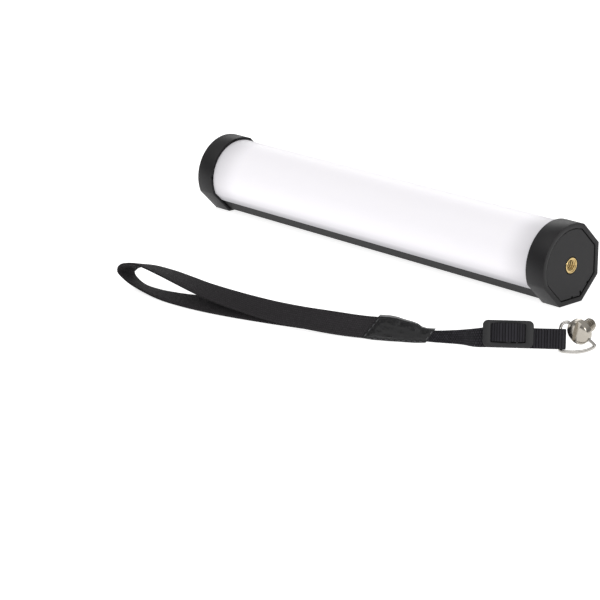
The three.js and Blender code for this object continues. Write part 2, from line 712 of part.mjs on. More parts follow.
function sliderWrap() {
  const gap = FIT_GAP;
  const outline = roundedOutline(-5.4, 5.4, BAR.front - gap - 1.1, BAR.back + gap + 0.5, 0.68);
  const room = roundedOutline(-BAR.half - gap, BAR.half + gap, BAR.front - gap, BAR.back + gap - 0.25, 0.2);
  outline.holes.push(room);
  const height = SLIDER_WINDOW.top - SLIDER_WINDOW.bottom - 2 * FIT_GAP;
  return new THREE.ExtrudeGeometry(outline, { depth: height, curveSegments: 3, bevelEnabled: false })
    .translate(0, 0, SLIDER_WINDOW.bottom + FIT_GAP);
}

add(run, 'strap_slider', slider(), DARK_ABS);
add(run, 'slider_webbing_wrap', sliderWrap(), WEBBING);

// ---- Wrist strap: the ring and the screw ----

// The ring's bar passes through the screw's head. Its plane is spanned by the bar's direction and
// the direction from the bar to the ring's rounded tip.
const SCREW_CENTRE = new THREE.Vector3(179.6, -53.7, 10.5);
const BAR_DIRECTION = new THREE.Vector3(0.855, 0.149, -0.497).normalize();
const TIP_HINT = new THREE.Vector3(-0.394, -0.435, -0.809);
const SCREW_HINT = new THREE.Vector3(-0.078, 0.982, 0.164);

function squared(hint, direction) {
  return hint.clone().addScaledVector(direction, -hint.dot(direction)).normalize();
}

const TIP_DIRECTION = squared(TIP_HINT, BAR_DIRECTION);
const SCREW_DIRECTION = squared(SCREW_HINT, BAR_DIRECTION);

// The ring's centreline as [along the bar, towards the tip]: the bar through the screw, the long
// curved side, and the flat side that lies in the webbing's fold.
const RING_OUTLINE = [
  [-6.4, 0], [-2, 0], [3, 0], [8.5, 0], [9.8, 0.6], [9.3, 2.4], [7.8, 4.9], [5.6, 7.4], [2.6, 9.9],
  [-0.2, 11.9], [-1.7, 12.4], [-2.9, 11.6], [-4.2, 9.7], [-5.6, 7.8], [-7, 5.9], [-8.3, 4.1],
  [-8.6, 2.4], [-7.8, 0.7],
];

function ring() {
  const points = RING_OUTLINE.map(([a, b]) =>
    SCREW_CENTRE.clone().addScaledVector(BAR_DIRECTION, a).addScaledVector(TIP_DIRECTION, b).toArray());
  return wire(points, RING_WIRE_RADIUS, 72, 5, true);
}

// The screw, turned about Z with its thread pointing up: domed head, neck, thread.
const HEAD = { radius: 6, dome: -3.4, shoulder: -1, back: 1.7 };
const THREAD = { from: 3.8, tip: 9.2, radius: 3.1, neck: 2.35 };

function strapScrew() {
  const domePoints = [];
  const domeSteps = 6;
  for (let i = 0; i <= domeSteps; i += 1) {
    const angle = (i / domeSteps) * (Math.PI / 2);
    domePoints.push([HEAD.radius * Math.sin(angle), HEAD.shoulder + (HEAD.dome - HEAD.shoulder) * Math.cos(angle)]);
  }
  const profile = [
    ...domePoints,
    [HEAD.radius, HEAD.back],
    [THREAD.neck, HEAD.back],
    [THREAD.neck, THREAD.from],
    [THREAD.radius, THREAD.from + 0.5],
    [THREAD.radius, THREAD.tip - 0.6],
    [THREAD.radius - 0.6, THREAD.tip],
    [0, THREAD.tip],
  ];
  const turned = new THREE.LatheGeometry(profile.map(([r, z]) => new THREE.Vector2(r, z)), 24).rotateX(Math.PI / 2);
  const slotHalf = 1.3;
  const slotDepth = 1.9;
  const slot = block([-slotHalf, slotHalf], [-8, 8], [HEAD.dome - 1, HEAD.dome + slotDepth]);
  const crossHole = rod('x', RING_WIRE_RADIUS + FIT_GAP, -8, 8, [0, 0], 12);
  return cut(turned, slot.rotateZ(THREE.MathUtils.degToRad(-15)), crossHole);
}

const screw = add(light, 'strap_screw', strapScrew(), NICKEL);
screw.position.copy(SCREW_CENTRE);
screw.quaternion.setFromRotationMatrix(
  new THREE.Matrix4().makeBasis(
    BAR_DIRECTION,
    new THREE.Vector3().crossVectors(SCREW_DIRECTION, BAR_DIRECTION),
    SCREW_DIRECTION,
  ),
);
add(light, 'strap_ring', ring(), NICKEL);

export default light;
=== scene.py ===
"""A handheld LED light tube lying on one flat of its end caps, with its wrist strap in front of it."""

import math

import bmesh
import bpy
from bpy.props import FloatProperty, FloatVectorProperty, IntProperty, PointerProperty
from mathutils import Matrix, Vector
from mathutils.geometry import interpolate_bezier


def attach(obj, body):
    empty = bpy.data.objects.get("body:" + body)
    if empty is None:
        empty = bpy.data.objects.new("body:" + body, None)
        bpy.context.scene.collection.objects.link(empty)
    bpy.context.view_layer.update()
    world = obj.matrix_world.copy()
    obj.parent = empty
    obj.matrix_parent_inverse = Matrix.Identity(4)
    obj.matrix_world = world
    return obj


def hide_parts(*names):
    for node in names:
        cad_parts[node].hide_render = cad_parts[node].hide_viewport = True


bl_info = {
    "name": "LED light tube",
    "version": (1, 0, 0),
    "blender": (4, 5, 0),
    "location": "View3D > Sidebar > Light tube",
    "description": "Builds an LED light tube and its wrist strap around their packed solids",
    "category": "Object",
}

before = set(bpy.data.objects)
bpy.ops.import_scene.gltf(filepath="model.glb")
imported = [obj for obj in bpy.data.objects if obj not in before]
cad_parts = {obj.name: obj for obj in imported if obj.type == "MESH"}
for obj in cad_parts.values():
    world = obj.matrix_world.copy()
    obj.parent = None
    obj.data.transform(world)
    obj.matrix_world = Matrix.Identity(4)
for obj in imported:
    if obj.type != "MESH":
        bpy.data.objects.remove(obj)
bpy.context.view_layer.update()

# ---- The part's own sizes, in millimetres ----

HALF_LENGTH = 128
CAP_FLAT = 19.75  # from the axis to a flat
CAP_LENGTH = 11.3
BODY_INSET = 1.4
CAP_RIM = 2.5
CAP_RECESS = 1.0
CAP_END_WALL = 1.5
DIFFUSER_WALL = 1.6
SPLIT_Z = 0.95
BODY_HALF = 125.2
FIT_GAP = 0.3
INSERT_RADIUS = 4
INSERT_LENGTH = 10
TUBE_AXIS_Y = 0.814
THREAD_MAJOR = 3.175
THREAD_PITCH = 1.27
PLATE_NOTCHES = (-87, -109, -131)  # degrees round from the tube's +Y side
BUTTONS = {"power_button": 98, "up_button": 90, "down_button": 82.5, "mode_button": 75}  # their x
MM = 0.001

TO_X = Matrix.Rotation(math.pi / 2, 4, "Y")  # turns what stands along Z to lie along X
TUBE = Matrix.Translation((0, TUBE_AXIS_Y, CAP_FLAT)) @ Matrix.Rotation(math.pi / 4, 4, "X")
CAP_ENDS = {
    "right": TUBE @ Matrix.Translation((HALF_LENGTH, 0, 0)),
    "left": TUBE @ Matrix.Translation((-HALF_LENGTH, 0, 0)) @ Matrix.Rotation(math.pi, 4, "Z"),
}

# The straight end of the strap: X along it, +Y away from the front, +Z up the webbing's width.
RUN_TURN = math.radians(42)
RUN_LEAN = 18  # degrees, backwards
RUN = (
    Matrix.Translation((158.1, -78.5, 1))
    @ Matrix.Rotation(RUN_TURN, 4, "Z")
    @ Matrix.Rotation(math.radians(-RUN_LEAN), 4, "X")
)
LAYER_Y = 2.25  # of the middle of the front layer of webbing
NARROW_BOTTOM = 1.9
NARROW_WIDTH = 9.5
NARROW_MIDDLE = NARROW_BOTTOM + NARROW_WIDTH / 2
FOLD_X = 24.2
FOLD_RADIUS = 2.05  # of the webbing's middle, round the wire
FOLD_START = 4.1
RIBBED = 1.15  # rib spacing near the ring, as a multiple of the rib pitch
BAR_WEBBING_WIDTH = 8.8

SCREW_CENTRE = Vector((179.6, -53.7, 10.5))
BAR_DIRECTION = Vector((0.855, 0.149, -0.497)).normalized()


def squared(hint):
    """The part of a direction that is square to the ring's bar."""
    return (hint - BAR_DIRECTION * hint.dot(BAR_DIRECTION)).normalized()


TIP_DIRECTION = squared(Vector((-0.394, -0.435, -0.809)))
SCREW_DIRECTION = squared(Vector((-0.078, 0.982, 0.164)))
SCREW = Matrix.Translation(SCREW_CENTRE) @ Matrix((
    BAR_DIRECTION, SCREW_DIRECTION.cross(BAR_DIRECTION), SCREW_DIRECTION,
)).transposed().to_4x4()
RING_OUTLINE = (
    (-6.4, 0), (-2, 0), (3, 0), (8.5, 0), (9.8, 0.6), (9.3, 2.4), (7.8, 4.9), (5.6, 7.4), (2.6, 9.9),
    (-0.2, 11.9), (-1.7, 12.4), (-2.9, 11.6), (-4.2, 9.7), (-5.6, 7.8), (-7, 5.9), (-8.3, 4.1),
    (-8.6, 2.4), (-7.8, 0.7),
)

# Routes of the webbing's middle: x, y, z, backward lean in degrees, width.
LOOP_WIDTH = 10.6
LOOP_AWAY = Vector((0.2, 0.98, 0))
LOOP_ROUTE = [(*p, LOOP_WIDTH) for p in (
    (108, -102.4, 5.7, 0), (95, -110.4, 5.7, 2), (79, -117, 5.6, 14), (62, -123, 5.3, 30),
    (46, -128.2, 4.7, 44), (31, -132.4, 4, 53), (16, -136, 3.3, 62), (2, -138.3, 2.6, 71),
    (-12, -139.2, 1.8, 82), (-25, -139.4, 1.8, 96), (-36, -139.6, 2.9, 107), (-43.5, -139.6, 5.8, 110),
    (-45, -139.2, 8.6, 110), (-41, -138.8, 11.4, 107), (-31, -138.4, 13.5, 102), (-15, -138.6, 13.4, 91),
    (-1, -138.2, 12.2, 82), (12, -137, 10.6, 74), (26, -134.4, 9, 64), (40, -131.2, 7.7, 54),
    (54, -127.8, 6.8, 42), (69, -123, 6.3, 31), (83, -117.7, 5.8, 16), (95.7, -112.3, 5.7, 3),
    (109, -104, 5.7, 0),
)]
RUN_AWAY = Vector((-math.sin(RUN_TURN), math.cos(RUN_TURN), 0))


def on_run(x, y=LAYER_Y, z=NARROW_MIDDLE):
    """A place on the strap's straight end."""
    return tuple(RUN @ Vector((x, y, z)))


NARROW_ROUTE = [
    (112.5, -100.4, 3.8, 0, 5.4),
    (124.5, -92.7, 3.7, 2, 5.8),
    (135, -86, 4.4, 8, 7),
    (*on_run(-15, LAYER_Y + 0.6, NARROW_MIDDLE - 0.4), RUN_LEAN, 8.7),
    (*on_run(-9), RUN_LEAN, NARROW_WIDTH),
    (*on_run(-2), RUN_LEAN, NARROW_WIDTH),
    (*on_run(FOLD_START), RUN_LEAN, NARROW_WIDTH),
]

COVER = Matrix.Translation((95.2, -111.6, 0)) @ Matrix.Rotation(math.radians(32.6), 4, "Z")
COVER_EDGE = 1.9  # half the thickness of its stitched border
COVER_OUTLINE = (
    (0.6, 0.6), (6, 0.1), (26, 0.1), (31.2, 0.5), (35.8, 7.5), (31.4, 7.4), (29, 8), (27.3, 9.2),
    (24.6, 10), (21, 10.7), (17.5, 11.6), (13.8, 12), (8.9, 11.9),
)


# ---- Small helpers ----

def linear(colour):
    """An sRGB colour, as hex text or as three values, turned to linear."""
    if isinstance(colour, str):
        colour = [int(colour[i:i + 2], 16) / 255 for i in (0, 2, 4)]
    return [c / 12.92 if c <= 0.04045 else ((c + 0.055) / 1.055) ** 2.4 for c in colour[:3]] + [1]


def srgb(text):
    """Hex text as three sRGB values."""
    return [int(text[i:i + 2], 16) / 255 for i in (0, 2, 4)]


def add(tree, kind, links=None, values=None, feeds=None, **settings):
    """Adds a node: settings on it, links and values into its sockets, and what its outputs feed."""
    node = tree.nodes.new(kind)
    for name, value in settings.items():
        setattr(node, name, value)
    for name, value in (values or {}).items():
        node.inputs[name].default_value = value
    for name, source in (links or {}).items():
        tree.links.new(source, node.inputs[name])
    for name, socket in (feeds or {}).items():
        tree.links.new(node.outputs[name], socket)
    return node


def material(name, **shader):
    """A material with one shader, its constant values set on its own sockets."""
    made = bpy.data.materials.new(name)
    made.use_nodes = True
    tree = made.node_tree
    principled = tree.nodes["Principled BSDF"]
    for socket, value in shader.items():
        principled.inputs[socket.replace("_", " ")].default_value = value
    return made, tree, principled


def scaled(colour, factor):
    """A linear colour made darker or lighter, and never brighter than white."""
    return [min(1, c * factor) for c in colour[:3]] + [1]


def uneven(tree, shader, cloud, low, high, gloss=None):
    """Lets a pattern move the colour between two tones, and a gloss pattern the roughness."""
    add(tree, "ShaderNodeMix", {"Factor": cloud}, {6: low, 7: high}, {2: shader.inputs["Base Color"]},
        data_type="RGBA")
    if gloss:
        speck, smoothest, roughest = gloss
        add(tree, "ShaderNodeMapRange", {"Value": speck}, {"To Min": smoothest, "To Max": roughest},
            {"Result": shader.inputs["Roughness"]})


def new_object(bm, name):
    """A scene object from a bmesh, which is then freed."""
    mesh = bpy.data.meshes.new(name)
    bm.to_mesh(mesh)
    bm.free()
    made = bpy.data.objects.new(name, mesh)
    bpy.context.scene.collection.objects.link(made)
    return made


def finish(bm, name, body, surface, place=Matrix.Identity(4), smooth_angle=40, replaces=()):
    """Turns a bmesh in millimetres into a piece at the origin, riding on its body."""
    bmesh.ops.transform(bm, matrix=Matrix.Scale(MM, 4) @ place, verts=bm.verts)
    smooth_shade(bm, smooth_angle)
    piece = new_object(bm, name)
    piece.data.materials.append(surface)
    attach(piece, body)
    if replaces:
        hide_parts(*replaces)
    return piece


def smooth_shade(bm, smooth_angle):
    """Shades a bmesh smooth, with a hard edge wherever it turns by more than the angle."""
    for face in bm.faces:
        face.smooth = True
    limit = math.radians(smooth_angle)
    for edge in bm.edges:
        edge.smooth = len(edge.link_faces) == 2 and edge.calc_face_angle(0) < limit


def recalculated(bm, distance=0.001):
    """Merges doubles, then points every face outwards."""
    bmesh.ops.remove_doubles(bm, verts=bm.verts, dist=distance)
    bmesh.ops.recalc_face_normals(bm, faces=bm.faces)


def attached(verts):
    """These vertices, with every edge and face that uses them."""
    edges = {e for v in verts for e in v.link_edges}
    faces = {f for v in verts for f in v.link_faces}
    return [*verts, *edges, *faces]


def outline(bm, inset, x, sides=96):
    """The tube's cross-section as a closed loop of edges: a circle with five flats cut from it."""
    flat = CAP_FLAT - inset
    radius = flat / math.cos(math.pi / 8)
    before = set(bm.verts)
    bmesh.ops.create_circle(bm, cap_ends=True, segments=sides, radius=radius, matrix=TO_X)
    for angle in (180, 225, 270, 315, 0):
        new = [v for v in bm.verts if v not in before]
        normal = Vector((0, math.cos(math.radians(angle)), math.sin(math.radians(angle))))
        bmesh.ops.bisect_plane(
            bm, geom=attached(new), plane_co=normal * flat, plane_no=normal, clear_outer=True, dist=1e-5,
        )
    new = [v for v in bm.verts if v not in before]
    bmesh.ops.delete(bm, geom=list({f for v in new for f in v.link_faces}), context="FACES_ONLY")
    bmesh.ops.translate(bm, vec=(x, 0, 0), verts=new)
    return list({e for v in new for e in v.link_edges})


def circle(bm, radius, place, sides=48):
    """A circle on a placed XY plane, as a closed loop of edges."""
    made = bmesh.ops.create_circle(bm, cap_ends=False, segments=sides, radius=radius, matrix=place)
    return list({e for v in made["verts"] for e in v.link_edges})


def hoop(bm, radius, x):
    """A circle about the tube's axis."""
    return circle(bm, radius, Matrix.Translation((x, 0, 0)) @ TO_X)


def skin(bm, loops, closed=True):
    """Joins each loop to the next, by a bridge, or by a flat ring where their counts differ."""
    for a, b in zip(loops, loops[1:] + loops[:1] if closed else loops[1:]):
        if len(a) == len(b):
            bmesh.ops.bridge_loops(bm, edges=a + b)
        else:
            fill_between(bm, a, b, (1, 0, 0))


def fill_between(bm, outer, inner, normal):
    """Fills the flat ring between two loops that lie in one plane."""
    bmesh.ops.triangle_fill(bm, edges=outer + inner, use_beauty=True, use_dissolve=False, normal=normal)


def carve(context, piece, cutter_bm, place, smooth_angle=35):
    """Cuts closed shapes, in millimetres, out of a finished piece."""
    bmesh.ops.transform(cutter_bm, matrix=Matrix.Scale(MM, 4) @ place, verts=cutter_bm.verts)
    cutter = new_object(cutter_bm, "cutter")
    cut = piece.modifiers.new("cut", "BOOLEAN")
    cut.operation = "DIFFERENCE"
    cut.solver = "EXACT"
    cut.use_self = True
    cut.object = cutter
    shaped = bpy.data.meshes.new_from_object(piece.evaluated_get(context.evaluated_depsgraph_get()))
    piece.modifiers.clear()
    piece.data = shaped
    bpy.data.objects.remove(cutter)
    bm = bmesh.new()
    bm.from_mesh(shaped)
    bmesh.ops.remove_doubles(bm, verts=bm.verts, dist=1e-7)
    smooth_shade(bm, smooth_angle)
    bm.to_mesh(shaped)
    bm.free()


def soften(bm, edges, width, segments=3):
    """Rounds edges with a bevel."""
    bmesh.ops.bevel(
        bm, geom=edges, offset=width, offset_type="OFFSET", affect="EDGES", segments=segments,
        profile=0.5, material=-1, clamp_overlap=True,
    )


def turned(bm, profile, steps):
    """Spins a profile of (radius, height) all the way round Z."""
    verts = [bm.verts.new((r, 0, z)) for r, z in profile]
    edges = [bm.edges.new(pair) for pair in zip(verts, verts[1:])]
    bmesh.ops.spin(
        bm, geom=verts + edges, cent=(0, 0, 0), axis=(0, 0, 1), angle=2 * math.pi, steps=steps,
        use_merge=True, use_duplicate=False,
    )
    bmesh.ops.remove_doubles(bm, verts=bm.verts, dist=1e-4)


def thread(bm, minor, major, start, end, steps=48):
    """A helical screw surface along Z, cut square at both ends. Returns its two end loops."""
    before = set(bm.verts)
    turns = math.ceil((end - start) / THREAD_PITCH) + 3
    low = start - 1.5 * THREAD_PITCH
    profile = []
    for turn in range(turns):
        z = low + turn * THREAD_PITCH
        profile += [
            (minor, z), (minor, z + 0.12 * THREAD_PITCH),
            (major, z + 0.46 * THREAD_PITCH), (major, z + 0.6 * THREAD_PITCH),
        ]
    profile.append((minor, low + turns * THREAD_PITCH))
    verts = [bm.verts.new((r, 0, z)) for r, z in profile]
    edges = [bm.edges.new(pair) for pair in zip(verts, verts[1:])]
    bmesh.ops.spin(
        bm, geom=verts + edges, cent=(0, 0, 0), axis=(0, 0, 1), dvec=(0, 0, THREAD_PITCH / steps),
        angle=2 * math.pi, steps=steps, use_duplicate=False,
    )
    new = [v for v in bm.verts if v not in before]
    bmesh.ops.remove_doubles(bm, verts=new, dist=1e-3)
    loops = []
    for z, normal in ((start, (0, 0, -1)), (end, (0, 0, 1))):
        new = [v for v in bm.verts if v not in before]
        cut = bmesh.ops.bisect_plane(
            bm, geom=attached(new), plane_co=(0, 0, z), plane_no=normal, clear_outer=True, dist=1e-5,
        )
        loops.append([g for g in cut["geom_cut"] if isinstance(g, bmesh.types.BMEdge)])
    return loops


def smooth_path(points, count):
    """Points along one smooth curve through the given ones, with every value eased alike."""
    result = []
    size = len(points[0])
    for i in range(count + 1):
        place = i / count * (len(points) - 1)
        k = min(int(place), len(points) - 2)
        t = place - k
        a, b, c, d = (points[max(0, min(len(points) - 1, j))] for j in (k - 1, k, k + 1, k + 2))
        result.append([
            0.5 * (2 * b[n] + (c[n] - a[n]) * t + (2 * a[n] - 5 * b[n] + 4 * c[n] - d[n]) * t * t
                   + (3 * b[n] - a[n] - 3 * c[n] + d[n]) * t ** 3)
            for n in range(size)
        ])
    return result


def evenly(points, spacing):
    """The same path with its stations spaced evenly, and its length."""
    fine = smooth_path(points, 60 * (len(points) - 1))
    places = [Vector(p[:3]) for p in fine]
    travelled = [0]
    for a, b in zip(places, places[1:]):
        travelled.append(travelled[-1] + (b - a).length)
    length = travelled[-1]
    count = max(8, round(length / spacing))
    stations = []
    k = 0
    for i in range(count + 1):
        goal = length * i / count
        while k < len(travelled) - 2 and travelled[k + 1] < goal:
            k += 1
        t = (goal - travelled[k]) / (travelled[k + 1] - travelled[k])
        stations.append([a + (b - a) * t for a, b in zip(fine[k], fine[k + 1])])
    return stations, length


def webbing(name, route, away, thickness, weave, surface, body, replaced):
    """A strap woven along a route, with beaded selvedges and its floats raised in staggered columns."""
    stations, length = evenly(route, weave.rib / 4)
    count = len(stations) - 1
    across = 3 * weave.columns if weave.columns > 1 else 10
    bm = bmesh.new()
    bmesh.ops.create_grid(bm, x_segments=count, y_segments=across, size=0.5)
    along = bm.verts.layers.float.new("along")
    aside = bm.verts.layers.float.new("aside")
    for vert in bm.verts:
        vert[along], vert[aside] = vert.co.x + 0.5, vert.co.y
    made = bmesh.ops.extrude_face_region(bm, geom=bm.faces[:], use_keep_orig=True)["geom"]
    front = {g for g in made if isinstance(g, bmesh.types.BMVert)}
    centre = [Vector(s[:3]) for s in stations]
    for vert in bm.verts:
        i = round(vert[along] * count)
        v = vert[aside]  # from one selvedge, -0.5, to the other, 0.5
        lean, width = math.radians(stations[i][3]), stations[i][4]
        tangent = (centre[min(i + 1, count)] - centre[max(i - 1, 0)]).normalized()
        up = Vector((0, 0, math.cos(lean))) + away * math.sin(lean)
        up = (up - tangent * up.dot(tangent)).normalized()
        out = tangent.cross(up)
        turn = 2 * math.pi * vert[along] * length / weave.rib
        column = math.sin(math.pi * weave.columns * (v + 0.5)) if weave.columns > 1 else 1
        swell = weave.relief * math.cos(turn) * column
        bead = weave.bead * math.sin(turn) if abs(v) > 0.45 else 0
        reach = v * (width - 2 * weave.bead) + math.copysign(bead, v)
        thin = 1 - 0.45 * (2 * abs(v)) ** 10
        side = 1 if vert in front else -1
        vert.co = centre[i] + up * reach + out * side * (thickness / 2 * thin + swell)
    uv = bm.loops.layers.uv.new("weave")
    for face in bm.faces:
        for loop in face.loops:
            loop[uv].uv = (loop.vert[along], loop.vert[aside] + 0.5)
    bm.verts.layers.float.remove(along)
    bm.verts.layers.float.remove(bm.verts.layers.float["aside"])
    bmesh.ops.recalc_face_normals(bm, faces=bm.faces)
    return finish(bm, name, body, surface, smooth_angle=60, replaces=replaced), length


class Weave:
    """One weave, in millimetres: float spacing, columns, how far floats and edge beads stand out, and how
    dark the painted shade in the gaps is.
    """

    def __init__(self, rib, columns=1, relief=0.07, bead=0.12, contrast=1.0):
        self.rib = rib
        self.columns = columns
        self.relief = relief
        self.bead = bead
        # Sets both the floats' random lighter tone and the painted shade in the gaps.
        self.contrast = contrast  # between the floats and the gaps


def rounded_box(bm, low, high, corner, axis="Y", segments=5):
    """A block with four corners rounded along one axis."""
    made = bmesh.ops.create_cube(bm, size=1)["verts"]
    size = [h - l for l, h in zip(low, high)]
    bmesh.ops.scale(bm, vec=size, verts=made)
    bmesh.ops.translate(bm, vec=[(l + h) / 2 for l, h in zip(low, high)], verts=made)
    k = "XYZ".index(axis)
    edges = {e for v in made for e in v.link_edges}
    along = [e for e in edges if abs((e.verts[0].co - e.verts[1].co)[k]) > 1e-4]
    soften(bm, along, corner, segments)


# ---- Finishes ----

def moulded_abs(name, colour, roughness=0.5, grain=0.35, depth=0.02, specular=0.26):
    """Moulded ABS with a fine spark-eroded grain, which breaks its highlights up softly."""
    made, tree, shader = material(name, Roughness=roughness, IOR=1.53, Specular_IOR_Level=specular)
    place = add(tree, "ShaderNodeTexCoord").outputs["Object"]
    speck = add(
        tree, "ShaderNodeTexNoise", {"Vector": place},
        {"Scale": 1000 / grain, "Detail": 2, "Roughness": 0.6},
    ).outputs["Fac"]
    cloud = add(tree, "ShaderNodeTexNoise", {"Vector": place}, {"Scale": 55, "Detail": 3}).outputs["Fac"]
    low, high = [c * 0.94 for c in colour], [min(1, c * 1.06) for c in colour]
    uneven(tree, shader, cloud, linear(low), linear(high), (speck, roughness - 0.06, roughness + 0.08))
    add(tree, "ShaderNodeBump", {"Height": speck}, {"Strength": 0.5, "Distance": depth / 1000},
        {"Normal": shader.inputs["Normal"]})
    return made


def frosted_polycarbonate(props):
    """Opal polycarbonate: white through its thickness, so it evens out the LEDs behind it."""
    made, tree, shader = material("frosted_polycarbonate", Roughness=0.45, IOR=1.585, Specular_IOR_Level=0.3)
    place = add(tree, "ShaderNodeTexCoord").outputs["Object"]
    # Frosting is finer than the render shows, so it is drawn at about half a millimetre.
    frost = add(tree, "ShaderNodeTexNoise", {"Vector": place}, {"Scale": 1800, "Detail": 2}).outputs["Fac"]
    add(tree, "ShaderNodeBump", {"Height": frost}, {"Strength": 0.12, "Distance": 0.02 / 1000},
        {"Normal": shader.inputs["Normal"]})
    # The glow is the LEDs' light, full along the crown. Its fall-off towards the split line and both ends is
    # partly the LEDs' own spread and partly painted shade, for the lower side and for the ends shaded by the
    # caps.
    crown_height, fade_start, fade_end, shaded_end_share = 0.012, 0.096, 0.118, 0.4
    normal = TUBE.col[2].to_3d()
    outward = add(
        tree, "ShaderNodeVectorMath", {0: place}, {1: tuple(normal)}, operation="DOT_PRODUCT",
    )
    base = (TUBE @ Vector((0, 0, SPLIT_Z))).dot(normal) / 1000
    crown = add(
        tree, "ShaderNodeMapRange", {"Value": outward.outputs["Value"]},
        {"From Min": base, "From Max": base + crown_height, "To Min": 0, "To Max": 1},
        interpolation_type="SMOOTHSTEP",
    ).outputs["Result"]
    parts = add(tree, "ShaderNodeSeparateXYZ", {"Vector": place})
    span = add(tree, "ShaderNodeMath", {0: parts.outputs["X"]}, operation="ABSOLUTE")
    ends = add(
        tree, "ShaderNodeMapRange", {"Value": span.outputs["Value"]},
        {"From Min": fade_start, "From Max": fade_end,
         "To Min": props.glow, "To Max": props.glow * shaded_end_share},
        interpolation_type="SMOOTHSTEP",
    )
    add(tree, "ShaderNodeMath", {0: crown, 1: ends.outputs["Result"]},
        feeds={"Value": shader.inputs["Emission Strength"]}, operation="MULTIPLY")
    # The wall's colour is greyer by the split line: painted shade for the lower side, which faces down, away
    # from the lights.
    uneven(tree, shader, crown, linear(props.diffuser_shaded_colour), linear(props.diffuser_colour))
    shader.inputs["Emission Color"].default_value = linear("fdfbfe")
    return made


def turned_metal(name, colour, roughness, mark=0.25, strength=0.3):
    """Turned metal: fine tool marks break up its gloss, and handling has stained it a little."""
    made, tree, shader = material(name, Metallic=1, Roughness=roughness)
    place = add(tree, "ShaderNodeTexCoord").outputs["Object"]
    grain = add(
        tree, "ShaderNodeTexNoise", {"Vector": place}, {"Scale": 1000 / mark, "Detail": 3},
    ).outputs["Fac"]
    stain = add(tree, "ShaderNodeTexNoise", {"Vector": place}, {"Scale": 420, "Detail": 2}).outputs["Fac"]
    base = linear(colour)
    uneven(tree, shader, stain, scaled(base, 0.82), base, (grain, roughness * 0.8, roughness * 1.3))
    add(tree, "ShaderNodeBump", {"Height": grain}, {"Strength": strength, "Distance": 0.01 / 1000},
        {"Normal": shader.inputs["Normal"]})
    return made


def woven_nylon(name, colour, length, width, weave):
    """Woven nylon: short raised floats with painted shade in the gaps between them, and a faint sheen."""
    made, tree, shader = material(
        name, Roughness=0.75, IOR=1.53, Specular_IOR_Level=0.15, Sheen_Weight=0.04, Sheen_Roughness=0.4,
    )
    uv = add(tree, "ShaderNodeUVMap").outputs["UV"]
    # The map runs 0 to 1 both ways, so this turns it to millimetres.
    size = add(
        tree, "ShaderNodeMapping", {"Vector": uv}, {"Scale": (length, width, 1)},
    ).outputs["Vector"]
    column = width / weave.columns
    base = linear(colour)
    # The floats take random lighter tones; the mortar between them is painted shade, darkened where the gaps
    # are recessed.
    floats = add(
        tree, "ShaderNodeTexBrick", {"Vector": size},
        {"Scale": 1, "Brick Width": weave.rib, "Row Height": column + (0 if weave.columns > 1 else 1),
         "Mortar Size": weave.rib * 0.22, "Mortar Smooth": 1, "Bias": 0, "Color1": base,
         "Color2": scaled(base, 1 + 0.6 * weave.contrast),
         "Mortar": scaled(base, 1 - 0.85 * weave.contrast)},
        {"Color": shader.inputs["Base Color"]}, offset=0.5, offset_frequency=2,
    )
    # Filaments along each float, drawn as coarse as they need to be to show.
    strands = add(
        tree, "ShaderNodeTexWave", {"Vector": size}, {"Scale": 1.9, "Distortion": 0.6, "Detail": 1},
        bands_direction="Y",
    )
    raised = add(tree, "ShaderNodeMath", {0: floats.outputs["Fac"]}, {1: -1.0}, operation="MULTIPLY")
    height = add(
        tree, "ShaderNodeMath", {0: strands.outputs["Fac"], 2: raised.outputs["Value"]}, {1: 0.18},
        operation="MULTIPLY_ADD",
    )
    add(tree, "ShaderNodeBump", {"Height": height.outputs["Value"]},
        {"Strength": 0.7, "Distance": weave.relief * 2 / 1000}, {"Normal": shader.inputs["Normal"]})
    return made


def leatherette(props):
    """Coated leatherette: a pebbled grain crossed by shallow creases, with a low even gloss. Its colour is
    lighter along the crease ridges and darker between them, as painted highlight and painted shade.
    """
    made, tree, shader = material("grained_leatherette", Roughness=0.34, IOR=1.5, Specular_IOR_Level=0.32)
    place = add(tree, "ShaderNodeTexCoord").outputs["Object"]
    pebble = add(
        tree, "ShaderNodeTexVoronoi", {"Vector": place}, {"Scale": 1500, "Randomness": 0.9},
        feature="SMOOTH_F1",
    )
    crease = add(
        tree, "ShaderNodeTexNoise", {"Vector": place},
        {"Scale": 150, "Detail": 5, "Roughness": 0.55, "Distortion": 0.9}, noise_type="RIDGED_MULTIFRACTAL",
    ).outputs["Fac"]
    base = linear(props.leather_colour)
    # Painted highlight and painted shade: the colour is lighter along the raised crease ridges and darker
    # between them.
    uneven(tree, shader, crease, scaled(base, 0.75), scaled(base, 1.3))
    both = add(
        tree, "ShaderNodeMath", {0: pebble.outputs["Distance"], 2: crease}, {1: 0.5},
        operation="MULTIPLY_ADD",
    )
    add(tree, "ShaderNodeBump", {"Height": both.outputs["Value"]}, {"Strength": 0.9, "Distance": 0.4 / 1000},
        {"Normal": shader.inputs["Normal"]})
    return made


def plain_finish(name, colour, roughness, metallic=0.0, patch=4, **more):
    """A finish for small inner parts: its colour and gloss vary a little, as handled parts do."""
    made, tree, shader = material(name, Roughness=roughness, Metallic=metallic, **more)
    place = add(tree, "ShaderNodeTexCoord").outputs["Object"]
    cloud = add(
        tree, "ShaderNodeTexNoise", {"Vector": place}, {"Scale": 1000 / patch, "Detail": 3},
    ).outputs["Fac"]
    base = linear(colour)
    gloss = (cloud, roughness * 0.85, roughness * 1.15)
    uneven(tree, shader, cloud, scaled(base, 0.85), scaled(base, 1.1), gloss)
    return made


# ---- Settings ----

def colour_setting(name, description, default):
    return FloatVectorProperty(
        name=name, description=description, default=srgb(default), subtype="COLOR_GAMMA", min=0, max=1,
        size=3,
    )


def number(name, description, default, low, high, **more):
    return FloatProperty(name=name, description=description, default=default, min=low, max=high, **more)


